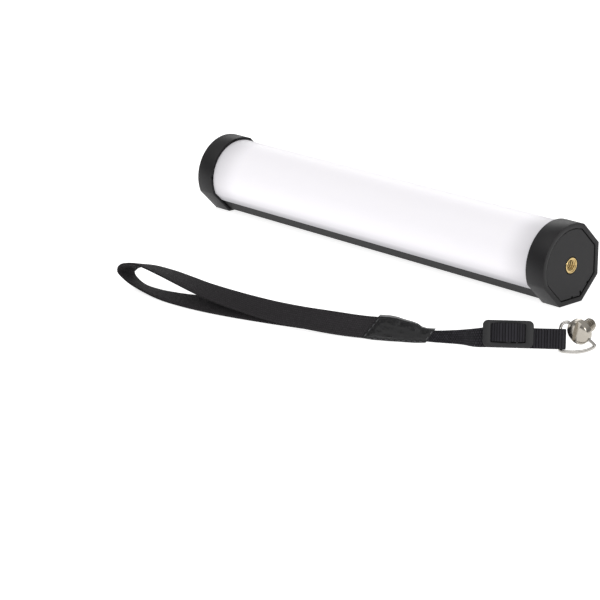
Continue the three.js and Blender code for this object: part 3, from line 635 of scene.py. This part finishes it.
class TubeSettings(bpy.types.PropertyGroup):
    cap_colour: colour_setting("Cap colour", "Colour of the moulded end caps", "151416")
    plate_colour: colour_setting("Plate colour", "Colour of the plates set into the caps", "141315")
    housing_colour: colour_setting("Housing colour", "Colour of the back housing", "0e0d0f")
    diffuser_colour: colour_setting("Diffuser colour", "Colour of the frosted front", "c1bfc3")
    # Painted shade: the diffuser's colour by the split line, darkened where its lower side is shaded.
    diffuser_shaded_colour: colour_setting("Diffuser edge colour", "Its colour by the split line", "a8a7ab")
    brass_colour: colour_setting("Brass colour", "Colour of the threaded inserts", "d6bc85")
    glow: number("Glow", "How brightly the diffuser gives its own light", 0.45, 0, 5)
    cap_edge: number("Cap edge", "Radius along the caps' outer edges", 0.0006, 0.0001, 0.001, unit="LENGTH")


class StrapSettings(bpy.types.PropertyGroup):
    webbing_colour: colour_setting("Webbing colour", "Colour of the woven strap", "2a282a")
    narrow_colour: colour_setting("Narrow webbing colour", "Colour of the narrow strap", "29282c")
    leather_colour: colour_setting("Cover colour", "Colour of the cover over the join", "0f0f11")
    slider_colour: colour_setting("Slider colour", "Colour of the moulded slider", "2a2a2b")
    wire_colour: colour_setting("Wire colour", "Colour of the nickel on the ring", "c2bfba")
    screw_colour: colour_setting("Screw colour", "Colour of the nickel on the screw", "b6b0a6")
    rib_pitch: number(
        "Rib pitch", "Spacing of the weave's floats along the webbing", 0.00115, 0.0005, 0.005,
        unit="LENGTH",
    )
    stitch_pitch: number(
        "Stitch pitch", "Spacing of the cover's stitches", 0.0026, 0.001, 0.01, unit="LENGTH",
    )
    wire_sides: IntProperty(
        name="Wire sides", description="Sides of the ring's round wire", default=16, min=6, max=32,
    )


class StageSettings(bpy.types.PropertyGroup):
    lens: number("Lens", "Focal length of the camera in millimetres", 138.6, 20, 300)
    floor_size: number("Floor size", "Side of the square floor", 8, 1, 50, unit="LENGTH")
    key_power: number("Key power", "Power of the large soft light in watts", 8, 0, 500, unit="POWER")
    fill_power: number("Fill power", "Power of the low front light in watts", 5, 0, 500, unit="POWER")
    back_power: number("Back power", "Power of the light behind in watts", 6, 0, 500, unit="POWER")
    overhead: number("Overhead", "Brightness of the white ceiling", 0.6, 0, 5)
    horizon: number("Horizon", "Brightness of the dark walls", 0.26, 0, 5)
    floor_glow: number("Floor glow", "How brightly the floor is lit from below", 0.82, 0, 5)


# ---- Operators ----

class LIGHTTUBE_OT_stage(bpy.types.Operator):
    """Adds the pale floor, the soft lights and the camera"""

    bl_idname = "lighttube.stage"
    bl_label = "Stage"

    def execute(self, context):
        props = context.scene.lighttube_stage
        world = bpy.data.worlds.new("white_surroundings")
        world.use_nodes = True
        tree = world.node_tree
        # A white ceiling over dark walls, so that glossy parts show their shape.
        direction = add(tree, "ShaderNodeTexCoord").outputs["Generated"]
        parts = add(tree, "ShaderNodeSeparateXYZ", {"Vector": direction})
        background = tree.nodes["Background"]
        add(
            tree, "ShaderNodeMapRange", {"Value": parts.outputs["Z"]},
            {"From Min": 0.1, "From Max": 0.75, "To Min": props.horizon, "To Max": props.overhead},
            {"Result": background.inputs["Strength"]}, interpolation_type="SMOOTHSTEP",
        )
        background.inputs["Color"].default_value = (1, 1, 1, 1)
        context.scene.world = world
        context.scene.view_settings.view_transform = "Standard"

        bm = bmesh.new()
        bmesh.ops.create_grid(bm, x_segments=4, y_segments=4, size=props.floor_size / 2)
        floor = new_object(bm, "floor")
        paper, _, shader = material(
            "floor_paper", Roughness=0.9, Specular_IOR_Level=0, Emission_Strength=props.floor_glow,
        )
        shader.inputs["Base Color"].default_value = linear("d8d8d8")
        shader.inputs["Emission Color"].default_value = linear("ffffff")
        floor.data.materials.append(paper)

        self.light(context, "key_light", (-0.5, -0.9, 1.5), (0, -0.05, 0), 1.6, props.key_power)
        self.light(context, "fill_light", (1.5, -0.9, 0.6), (0.1, -0.05, 0.02), 0.6, props.fill_power)
        self.light(context, "back_light", (-1.1, 1.3, 0.95), (0, 0, 0.02), 1.1, props.back_power)

        camera = bpy.data.objects.new("camera", bpy.data.cameras.new("camera"))
        camera.data.lens = props.lens
        camera.data.sensor_width = 36
        camera.data.clip_end = 50
        camera.location = (0.82929, -0.83474, 0.34387)
        right = Vector((0.68181, 0.73153, 0))
        up = Vector((-0.22018, 0.20522, 0.95363))
        camera.rotation_euler = Matrix((right, up, right.cross(up))).transposed().to_euler()
        context.scene.collection.objects.link(camera)
        context.scene.camera = camera
        return {"FINISHED"}

    @staticmethod
    def light(context, name, place, target, size, power):
        """Adds a round lamp that faces its target."""
        lamp = bpy.data.lights.new(name, "AREA")
        lamp.shape = "DISK"
        lamp.size = size
        lamp.energy = power
        obj = bpy.data.objects.new(name, lamp)
        obj.location = place
        obj.rotation_euler = (Vector(place) - Vector(target)).to_track_quat("Z", "Y").to_euler()
        context.scene.collection.objects.link(obj)


class LIGHTTUBE_OT_end_caps(bpy.types.Operator):
    """Builds the two end caps, each a cup with a recess for its face plate"""

    bl_idname = "lighttube.end_caps"
    bl_label = "End caps"

    def execute(self, context):
        props = context.scene.lighttube_tube
        surface = moulded_abs("moulded_abs_caps", props.cap_colour, 0.46)
        seat = -CAP_RECESS
        inside = seat - CAP_END_WALL
        hole = INSERT_RADIUS + FIT_GAP
        boss = INSERT_RADIUS + 2
        boss_end = inside - 8
        body_inset = BODY_INSET - FIT_GAP
        for side, place in CAP_ENDS.items():
            bm = bmesh.new()
            skin(bm, [
                outline(bm, 0, -CAP_LENGTH), outline(bm, 0, 0),
                outline(bm, CAP_RIM, 0), outline(bm, CAP_RIM, seat),
                hoop(bm, hole, seat), hoop(bm, hole, boss_end),
                hoop(bm, boss, boss_end), hoop(bm, boss, inside),
                outline(bm, body_inset, inside), outline(bm, body_inset, -CAP_LENGTH),
            ])
            recalculated(bm)
            edges = [e for e in bm.edges if self.on_outline(e, (-CAP_LENGTH, 0), 0)]
            soften(bm, edges, props.cap_edge * 1000, 3)
            edges = [e for e in bm.edges if self.on_outline(e, (0,), CAP_RIM)]
            soften(bm, edges, 0.2, 2)
            finish(bm, f"cap_{side}", "light", surface, place, 30, (f"end_cap_{side}",))
        return {"FINISHED"}

    @staticmethod
    def on_outline(edge, stations, inset):
        """True for an edge that lies on the cross-section at one of these stations."""
        flat = CAP_FLAT - inset
        radius = flat / math.cos(math.pi / 8)
        a, b = (v.co for v in edge.verts)
        if abs(a.x - b.x) > 1e-3 or min(abs(a.x - s) for s in stations) > 1e-3:
            return False
        return all(flat - 1e-2 <= math.hypot(p.y, p.z) <= radius + 1e-2 for p in (a, b))


class LIGHTTUBE_OT_face_plates(bpy.types.Operator):
    """Builds the plates set into the caps, with a fine gap all round"""

    bl_idname = "lighttube.face_plates"
    bl_label = "Face plates"

    def execute(self, context):
        props = context.scene.lighttube_tube
        surface = moulded_abs("moulded_abs_plates", props.plate_colour, 0.42, grain=0.5, depth=0.012)
        inset = CAP_RIM + FIT_GAP
        hole = INSERT_RADIUS + FIT_GAP
        back, front = -0.85, -0.35
        for side, place in CAP_ENDS.items():
            bm = bmesh.new()
            skin(bm, [
                outline(bm, inset, back), outline(bm, inset, -0.55), outline(bm, inset + 0.2, front),
                hoop(bm, hole + 0.25, front), hoop(bm, hole, -0.6), hoop(bm, hole, back),
            ])
            recalculated(bm)
            name = f"plate_{side}"
            plate = finish(bm, name, "light", surface, place, 30, (f"face_{name}",))
            carve(context, plate, self.notches(CAP_FLAT - inset), place, 30)
        return {"FINISHED"}

    @staticmethod
    def notches(edge):
        """Three small slots in the plate's rim, for prising it out."""
        bm = bmesh.new()
        for degrees in PLATE_NOTCHES:
            turn = Matrix.Rotation(math.radians(degrees - 90), 4, "X")
            move = Matrix.Translation((-0.5, 0, edge + 0.55))
            bmesh.ops.create_cube(bm, size=1, matrix=turn @ move @ Matrix.Diagonal((3, 1.2, 2.9, 1)))
        return bm


class LIGHTTUBE_OT_thread_inserts(bpy.types.Operator):
    """Builds the brass inserts, with a cut thread inside each"""

    bl_idname = "lighttube.thread_inserts"
    bl_label = "Thread inserts"

    def execute(self, context):
        props = context.scene.lighttube_tube
        surface = turned_metal("turned_brass", props.brass_colour, 0.26)
        front, depth = -0.2, 7.5
        back = front - INSERT_LENGTH
        mouth = THREAD_MAJOR + 0.12
        lead_in = front - 0.35
        for side, place in CAP_ENDS.items():
            bm = bmesh.new()
            near, far = thread(bm, THREAD_MAJOR - 0.6, THREAD_MAJOR, front - depth, lead_in)
            turned(bm, [
                (mouth, lead_in), (mouth + 0.15, front), (INSERT_RADIUS - 0.15, front),
                (INSERT_RADIUS, front - 0.15), (INSERT_RADIUS, back + 0.35), (INSERT_RADIUS - 0.35, back),
                (0, back),
            ], 48)
            rim = [e for e in bm.edges if e.is_boundary and all(
                abs(v.co.to_2d().length - mouth) < 1e-3 for v in e.verts)]
            fill_between(bm, rim, far, (0, 0, 1))
            bmesh.ops.edgeloop_fill(bm, edges=near)
            recalculated(bm, 1e-4)
            name = f"insert_{side}"
            finish(bm, name, "light", surface, place @ TO_X, 35, (f"thread_{name}",))
        return {"FINISHED"}


class LIGHTTUBE_OT_diffuser(bpy.types.Operator):
    """Builds the frosted half-round diffuser"""

    bl_idname = "lighttube.diffuser"
    bl_label = "Diffuser"

    def execute(self, context):
        props = context.scene.lighttube_tube
        bm = bmesh.new()
        inner = BODY_INSET + DIFFUSER_WALL
        skin(bm, [
            outline(bm, inset, x, 192)
            for inset, x in (
                (BODY_INSET, -BODY_HALF), (BODY_INSET, BODY_HALF), (inner, BODY_HALF), (inner, -BODY_HALF),
            )
        ])
        cut = bmesh.ops.bisect_plane(
            bm, geom=bm.verts[:] + bm.edges[:] + bm.faces[:], plane_co=(0, 0, SPLIT_Z),
            plane_no=(0, 0, -1), clear_outer=True, dist=1e-5,
        )
        edges = [g for g in cut["geom_cut"] if isinstance(g, bmesh.types.BMEdge)]
        bmesh.ops.holes_fill(bm, edges=edges, sides=0)
        recalculated(bm)
        surface = frosted_polycarbonate(props)
        finish(bm, "diffuser_shell", "light", surface, TUBE, 30, ("diffuser",))
        return {"FINISHED"}


class LIGHTTUBE_OT_buttons(bpy.types.Operator):
    """Builds the four push buttons, each domed, with its flange behind the wall"""

    bl_idname = "lighttube.buttons"
    bl_label = "Push buttons"

    def execute(self, context):
        surface = moulded_abs("soft_touch_buttons", srgb("47464a"), 0.6, grain=0.25)
        tip, flange, flange_back, stem_end = -18.85, -16.2, -15.4, -15.2
        key, wide, stem = 2.8, 3.6, 1.5
        for name, x in BUTTONS.items():
            bm = bmesh.new()
            turned(bm, [
                (0, tip + 0.12), (1.2, tip + 0.1), (2.1, tip + 0.02), (2.45, tip), (2.7, tip + 0.1),
                (key, tip + 0.35), (key, flange), (wide, flange), (wide, flange_back), (stem, flange_back),
                (stem, stem_end), (0, stem_end),
            ], 40)
            recalculated(bm)
            place = TUBE @ Matrix.Translation((x, 0, 0))
            finish(bm, f"{name}_key", name, surface, place, 40, (name,))
        return {"FINISHED"}


class LIGHTTUBE_OT_inner_finishes(bpy.types.Operator):
    """Gives each carried-over part the finish of the real one"""

    bl_idname = "lighttube.inner_finishes"
    bl_label = "Finishes"

    def execute(self, context):
        props = context.scene.lighttube_tube
        finishes = {
            "back_housing": moulded_abs("moulded_abs_housing", props.housing_colour, 0.5, specular=0.12),
            "control_panel": moulded_abs("printed_panel", srgb("323134"), 0.35, grain=0.5, depth=0.006),
            "display_window": plain_finish("smoked_acrylic", "121417", 0.06, IOR=1.49, Coat_Weight=0.6),
            "display_module": plain_finish("display_glass", "0d0f12", 0.12, IOR=1.5),
            "usb_port": plain_finish("stamped_steel", "a9aaac", 0.3, 1.0),
            "indicator_lens": plain_finish("light_pipe", "eef0f2", 0.2, IOR=1.49),
            "led_carrier": plain_finish("mill_aluminium", "c9cbce", 0.38, 1.0),
            "led_board": plain_finish("white_solder_mask", "eef0ec", 0.45),
            "control_board": plain_finish("green_solder_mask", "1e5b38", 0.4),
            "battery_cradle": moulded_abs("moulded_nylon_cradle", srgb("2b2b2d"), 0.6),
        }
        sleeve = plain_finish("cell_sleeve", "2f6fb0", 0.35)
        tin = plain_finish("nickel_strip", "b9b6ae", 0.3, 1.0)
        zinc = plain_finish("zinc_plated_steel", "9a9ca0", 0.35, 1.0)
        red = plain_finish("red_pvc", "a5241f", 0.5)
        black = plain_finish("black_pvc", "1d1d1f", 0.5)
        groups = {
            sleeve: ("battery_cell_left", "battery_cell_right"),
            tin: ("battery_contact_left", "battery_contact_right", "magnet_left", "magnet_right"),
            zinc: [f"cap_screw_{side}_{row}" for side in ("left", "right") for row in ("front", "back")],
            red: ("battery_lead_positive",),
            black: ("battery_lead_negative", "led_lead"),
        }
        finishes.update({name: surface for surface, names in groups.items() for name in names})
        for name, surface in finishes.items():
            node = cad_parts[name]
            node.data.materials.clear()
            node.data.materials.append(surface)
        return {"FINISHED"}


class LIGHTTUBE_OT_webbing(bpy.types.Operator):
    """Weaves the wide loop, the narrow strap, and its end folded round the ring"""

    bl_idname = "lighttube.webbing"
    bl_label = "Webbing"

    def execute(self, context):
        props = context.scene.lighttube_strap
        rib = props.rib_pitch * 1000
        fine = Weave(rib, columns=10, relief=0.06, bead=0.32, contrast=0.45)
        wide = woven_nylon(
            "woven_nylon_wide", props.webbing_colour, evenly(LOOP_ROUTE, 1)[1], LOOP_WIDTH, fine,
        )
        loop, length = webbing(
            "loop_webbing", LOOP_ROUTE, LOOP_AWAY, 1.15, fine, wide, "strap", ("strap_loop_webbing",),
        )

        plain = Weave(rib, columns=7, relief=0.17, bead=0.16, contrast=1.1)
        narrow = woven_nylon(
            "woven_nylon_narrow", props.narrow_colour, evenly(NARROW_ROUTE, 1)[1], NARROW_WIDTH, plain,
        )
        strip, length = webbing(
            "narrow_webbing", NARROW_ROUTE, RUN_AWAY, 0.95, plain, narrow, "strap",
            ("strap_narrow_webbing",),
        )

        route = self.fold_route()
        ribs = Weave(rib * RIBBED, relief=0.16)
        ribbed = woven_nylon(
            "woven_nylon_ribbed", props.narrow_colour, evenly(route, 1)[1], NARROW_WIDTH, ribs,
        )
        fold, length = webbing(
            "folded_webbing", route, RUN_AWAY, 0.85, ribs, ribbed, "strap", ("strap_ring_webbing",),
        )
        return {"FINISHED"}

    @staticmethod
    def fold_route():
        """Along the front layer, round the ring's flat side, and back along the rear layer."""
        centre_y = LAYER_Y + FOLD_RADIUS
        flat = [(FOLD_START + 0.05 + 2 * k, LAYER_Y) for k in range(10)]
        turn = [
            (FOLD_X + FOLD_RADIUS * math.sin(a), centre_y - FOLD_RADIUS * math.cos(a))
            for a in (math.pi * k / 8 for k in range(9))
        ]
        back = [(21.5, 6.05), (19, 4.6), (16.5, 3.8), (14, 3.7), (10, 3.7), (FOLD_START + 0.4, 3.7)]
        return [(*on_run(x, y), RUN_LEAN, NARROW_WIDTH) for x, y in flat + turn + back]


class LIGHTTUBE_OT_join_cover(bpy.types.Operator):
    """Builds the leatherette cover over the strap's join, and its stitches"""

    bl_idname = "lighttube.join_cover"
    bl_label = "Join cover"

    def execute(self, context):
        props = context.scene.lighttube_strap
        bm = bmesh.new()
        verts = [bm.verts.new((x, 0, z)) for x, z in COVER_OUTLINE]
        face = bm.faces.new(verts)
        bmesh.ops.translate(bm, vec=(0, -COVER_EDGE, 0), verts=verts)
        made = bmesh.ops.extrude_face_region(bm, geom=[face], use_keep_orig=True)
        moved = [g for g in made["geom"] if isinstance(g, bmesh.types.BMVert)]
        bmesh.ops.translate(bm, vec=(0, 2 * COVER_EDGE, 0), verts=moved)
        recalculated(bm)
        rim = [e for e in bm.edges if abs(e.verts[0].co.y - e.verts[1].co.y) < 1e-4]
        soften(bm, rim, 0.5, 3)
        # Both faces swell inside the stitched border.
        for side in (-1, 1):
            flat = max((f for f in bm.faces if f.normal.y * side > 0.99), key=lambda f: f.calc_area())
            for inset, rise in ((0.7, 0.0), (0.6, 0.5), (0.6, 0.3), (0.5, 0.1)):
                bmesh.ops.inset_region(bm, faces=[flat], thickness=inset, use_even_offset=True)
                bmesh.ops.translate(bm, vec=(0, side * rise, 0), verts=flat.verts[:])
        for axis, cuts in (((1, 0, 0), 36), ((0, 0, 1), 12)):
            for cut in range(1, cuts):
                bmesh.ops.bisect_plane(
                    bm, geom=bm.verts[:] + bm.edges[:] + bm.faces[:], plane_co=Vector(axis) * cut,
                    plane_no=axis,
                )
        for vert in bm.verts:
            x, y, z = vert.co
            swell = max(0.0, abs(y) - COVER_EDGE)
            vert.co.y += math.copysign(swell * self.crease(x, z), y)
            vert.co.y *= self.taper(x)
        bmesh.ops.triangulate(bm, faces=bm.faces[:], quad_method="BEAUTY", ngon_method="BEAUTY")
        surface = leatherette(props)
        finish(bm, "join_cover", "strap", surface, COVER, 50, ("strap_join_cover",))
        self.stitches(props)
        return {"FINISHED"}

    @staticmethod
    def taper(x):
        """Thin where it holds only the narrow strap, with a soft step where the wide strands end."""
        start, reach, loss = 14, 16, 0.45
        step, step_width, step_depth = 19, 1.6, 0.08
        thinning = loss * max(0.0, min(1.0, (x - start) / reach))
        return 1 - thinning - step_depth * math.exp(-((x - step) / step_width) ** 2)

    @staticmethod
    def crease(x, z):
        """Long shallow folds that fan out from the narrow end."""
        back = 31 - x  # distance from where the folds meet
        fan = (z - 4 - 0.08 * back) / (0.6 + 0.022 * back)
        broad = 0.24 * math.sin(fan * 1.7 + 0.25 * x)
        fine = 0.14 * math.sin(fan * 3.1 - 0.4 * x + 1)
        return broad + fine - 0.12

    def stitches(self, props):
        """Short raised stitches along the slanted ends and the lower edge."""
        thread_finish = plain_finish("polyester_thread", "3a3a3e", 0.55, Sheen_Weight=0.3)
        bm = bmesh.new()
        pitch = props.stitch_pitch * 1000
        lines = (((1.9, 1.3), (9.3, 11.3)), ((3.4, 1.0), (30.2, 1.1)), ((31.2, 1.6), (34.8, 7.0)))
        for (x0, z0), (x1, z1) in lines:
            run = Vector((x1 - x0, 0, z1 - z0))
            count = int(run.length / pitch)
            turn = Vector((1, 0, 0)).rotation_difference(run.normalized()).to_matrix().to_4x4()
            for k in range(count):
                middle = Vector((x0, 0, z0)) + run * ((k + 0.5) / count)
                surface_y = -COVER_EDGE * self.taper(middle.x) - 0.04
                place = Matrix.Translation((middle.x, surface_y, middle.z)) @ turn
                shape = Matrix.Diagonal((pitch * 0.36, 0.22, 0.24, 1))
                bmesh.ops.create_uvsphere(bm, u_segments=8, v_segments=6, radius=1, matrix=place @ shape)
        finish(bm, "cover_stitches", "strap", thread_finish, COVER, 60)


class LIGHTTUBE_OT_slider(bpy.types.Operator):
    """Builds the moulded slider and the webbing that wraps its bar"""

    bl_idname = "lighttube.slider"
    bl_label = "Slider"

    def execute(self, context):
        props = context.scene.lighttube_strap
        surface = moulded_abs("moulded_acetal_slider", props.slider_colour, 0.45, grain=0.4)
        half, low, high, depth = 11.75, 2.3, 14.7, 1.4
        hole_half, hole_low, hole_high = 8.0, 4.4, 13.1
        bm = bmesh.new()
        rounded_box(bm, (-half, 0, low), (half, depth, high), 2.4)
        rounded_box(bm, (-hole_half, 0, hole_low), (hole_half, depth, hole_high), 0.5, segments=3)
        caps = [f for f in bm.faces if abs(f.normal.y) > 0.9]
        loops = {}
        for face in caps:
            size = "outer" if max(v.co.x for v in face.verts) > hole_half + 1 else "inner"
            loops[size, face.normal.y > 0] = list(face.edges)
        bmesh.ops.delete(bm, geom=caps, context="FACES_ONLY")
        for front in (True, False):
            fill_between(bm, loops["outer", front], loops["inner", front], (0, 1 if front else -1, 0))
        recalculated(bm)
        soften(bm, [e for e in bm.edges if self.is_rim(e)], 0.35, 3)
        rounded_box(bm, (-1.3, 0.15, hole_low - 0.6), (1.3, 1.25, hole_high + 0.6), 0.4, "Z", 3)
        recalculated(bm)
        finish(bm, "slider_frame", "slider", surface, RUN, 35, ("strap_slider",))

        bulge = (
            (-7.9, 1.2), (-6.9, 0.5), (-4.6, -0.55), (-2.6, -1.25), (0, -1.5), (2.6, -1.25), (4.6, -0.55),
            (6.9, 0.5), (7.9, 1.2),
        )
        middle = (hole_low + hole_high) / 2 + 0.3
        route = [(*on_run(x, y, middle), RUN_LEAN, BAR_WEBBING_WIDTH) for x, y in bulge]
        length = evenly(route, 1)[1]
        ribs = Weave(props.rib_pitch * 1000 * RIBBED, relief=0.16, bead=0.1)
        ribbed = woven_nylon("woven_nylon_bar", props.narrow_colour, length, BAR_WEBBING_WIDTH, ribs)
        wrap, length = webbing(
            "bar_webbing", route, RUN_AWAY, 0.8, ribs, ribbed, "slider", ("slider_webbing_wrap",),
        )
        return {"FINISHED"}

    @staticmethod
    def is_rim(edge):
        """True for the edges round the outside and the window, on either face."""
        a, b = (v.co for v in edge.verts)
        if abs(a.y - b.y) > 1e-4 or len(edge.link_faces) != 2:
            return False
        return edge.calc_face_angle(0) > 1.2


class LIGHTTUBE_OT_ring(bpy.types.Operator):
    """Bends the nickel-plated wire ring that holds the screw"""

    bl_idname = "lighttube.ring"
    bl_label = "Ring"

    def execute(self, context):
        props = context.scene.lighttube_strap
        surface = turned_metal("nickel_plate_wire", props.wire_colour, 0.16, 0.6, 0.1)
        radius = 0.8
        points = [SCREW_CENTRE + BAR_DIRECTION * a + TIP_DIRECTION * b for a, b in RING_OUTLINE]
        count = len(points)
        path = []
        for i in range(count):
            a, b, c, d = (points[(i + k) % count] for k in (-1, 0, 1, 2))
            path += list(interpolate_bezier(b, b + (c - a) / 6, c - (d - b) / 6, c, 9))[:-1]
        plane = BAR_DIRECTION.cross(TIP_DIRECTION).normalized()
        bm = bmesh.new()
        loops = []
        for i, point in enumerate(path):
            tangent = (path[(i + 1) % len(path)] - path[i - 1]).normalized()
            turn = Matrix((tangent.cross(plane), plane, -tangent)).transposed().to_4x4()
            loops.append(circle(bm, radius, Matrix.Translation(point) @ turn, props.wire_sides))
        skin(bm, loops)
        recalculated(bm, 1e-4)
        finish(bm, "ring_wire", "ring", surface, smooth_angle=60, replaces=("strap_ring",))
        return {"FINISHED"}


class LIGHTTUBE_OT_screw(bpy.types.Operator):
    """Turns the slotted screw, with its domed head, neck and cut thread"""

    bl_idname = "lighttube.screw"
    bl_label = "Screw"

    def execute(self, context):
        props = context.scene.lighttube_strap
        surface = turned_metal("nickel_plate_screw", props.screw_colour, 0.2)
        head, neck_radius, minor, major = 6.0, 2.3, 2.38, 3.1
        dome, shoulder, back, neck_end, thread_end, tip_end = -3.4, -1.0, 1.7, 4.1, 8.9, 9.2
        bm = bmesh.new()
        profile = [
            (head * math.sin(a), shoulder + (dome - shoulder) * math.cos(a))
            for a in (math.pi / 2 * k / 12 for k in range(13))
        ]
        profile += [
            (head, back - 0.35), (head - 0.35, back), (neck_radius, back), (neck_radius, neck_end),
        ]
        turned(bm, profile, 64)
        near, far = thread(bm, minor, major, neck_end, thread_end)
        neck = [
            e for e in bm.edges
            if e.is_boundary and all(v.co.to_2d().length < neck_radius + 0.01 for v in e.verts)
        ]
        fill_between(bm, near, neck, (0, 0, -1))
        tip = [
            circle(bm, radius, Matrix.Translation((0, 0, z)))
            for radius, z in ((2.2, thread_end), (1.9, tip_end))
        ]
        fill_between(bm, far, tip[0], (0, 0, 1))
        skin(bm, tip, closed=False)
        bmesh.ops.edgeloop_fill(bm, edges=tip[1])
        recalculated(bm, 1e-4)
        piece = finish(bm, "slotted_screw", "screw", surface, SCREW, 35, ("strap_screw",))
        carve(context, piece, self.slot_and_hole(dome), SCREW)
        return {"FINISHED"}

    @staticmethod
    def slot_and_hole(dome):
        """The coin slot across the head, and the cross hole for the ring's wire."""
        bm = bmesh.new()
        width, depth, over = 2.5, 1.9, 2
        turn = Matrix.Rotation(math.radians(-15), 4, "Z")
        move = Matrix.Translation((0, 0, dome + depth - (depth + over) / 2))
        shape = Matrix.Diagonal((width, 16, depth + over, 1))
        bmesh.ops.create_cube(bm, size=1, matrix=turn @ move @ shape)
        hole = 1.1
        bmesh.ops.create_cone(
            bm, cap_ends=True, segments=24, radius1=hole, radius2=hole, depth=16, matrix=TO_X,
        )
        return bm


class LIGHTTUBE_PT_parts(bpy.types.Panel):
    """Lists the settings and the steps that build the light tube"""

    bl_label = "Light tube"
    bl_idname = "LIGHTTUBE_PT_parts"
    bl_space_type = "VIEW_3D"
    bl_region_type = "UI"
    bl_category = "Light tube"

    def draw(self, context):
        scene = context.scene
        for settings in (scene.lighttube_tube, scene.lighttube_strap, scene.lighttube_stage):
            box = self.layout.box()
            for name in settings.__annotations__:
                box.prop(settings, name)
        for operator in OPERATORS:
            self.layout.operator(operator.bl_idname)


SETTINGS = {
    "lighttube_tube": TubeSettings,
    "lighttube_strap": StrapSettings,
    "lighttube_stage": StageSettings,
}
OPERATORS = (
    LIGHTTUBE_OT_stage, LIGHTTUBE_OT_end_caps, LIGHTTUBE_OT_face_plates, LIGHTTUBE_OT_thread_inserts,
    LIGHTTUBE_OT_diffuser, LIGHTTUBE_OT_buttons, LIGHTTUBE_OT_inner_finishes, LIGHTTUBE_OT_slider,
    LIGHTTUBE_OT_ring, LIGHTTUBE_OT_webbing, LIGHTTUBE_OT_join_cover, LIGHTTUBE_OT_screw,
)


def register():
    for cls in (*SETTINGS.values(), *OPERATORS, LIGHTTUBE_PT_parts):
        bpy.utils.register_class(cls)
    for name, cls in SETTINGS.items():
        setattr(bpy.types.Scene, name, PointerProperty(type=cls))


def unregister():
    for name in SETTINGS:
        delattr(bpy.types.Scene, name)
    for cls in reversed((*SETTINGS.values(), *OPERATORS, LIGHTTUBE_PT_parts)):
        bpy.utils.unregister_class(cls)


def main():
    register()
    for operator in OPERATORS:
        group, name = operator.bl_idname.split(".")
        getattr(getattr(bpy.ops, group), name)()


if __name__ == "__main__":
    main()
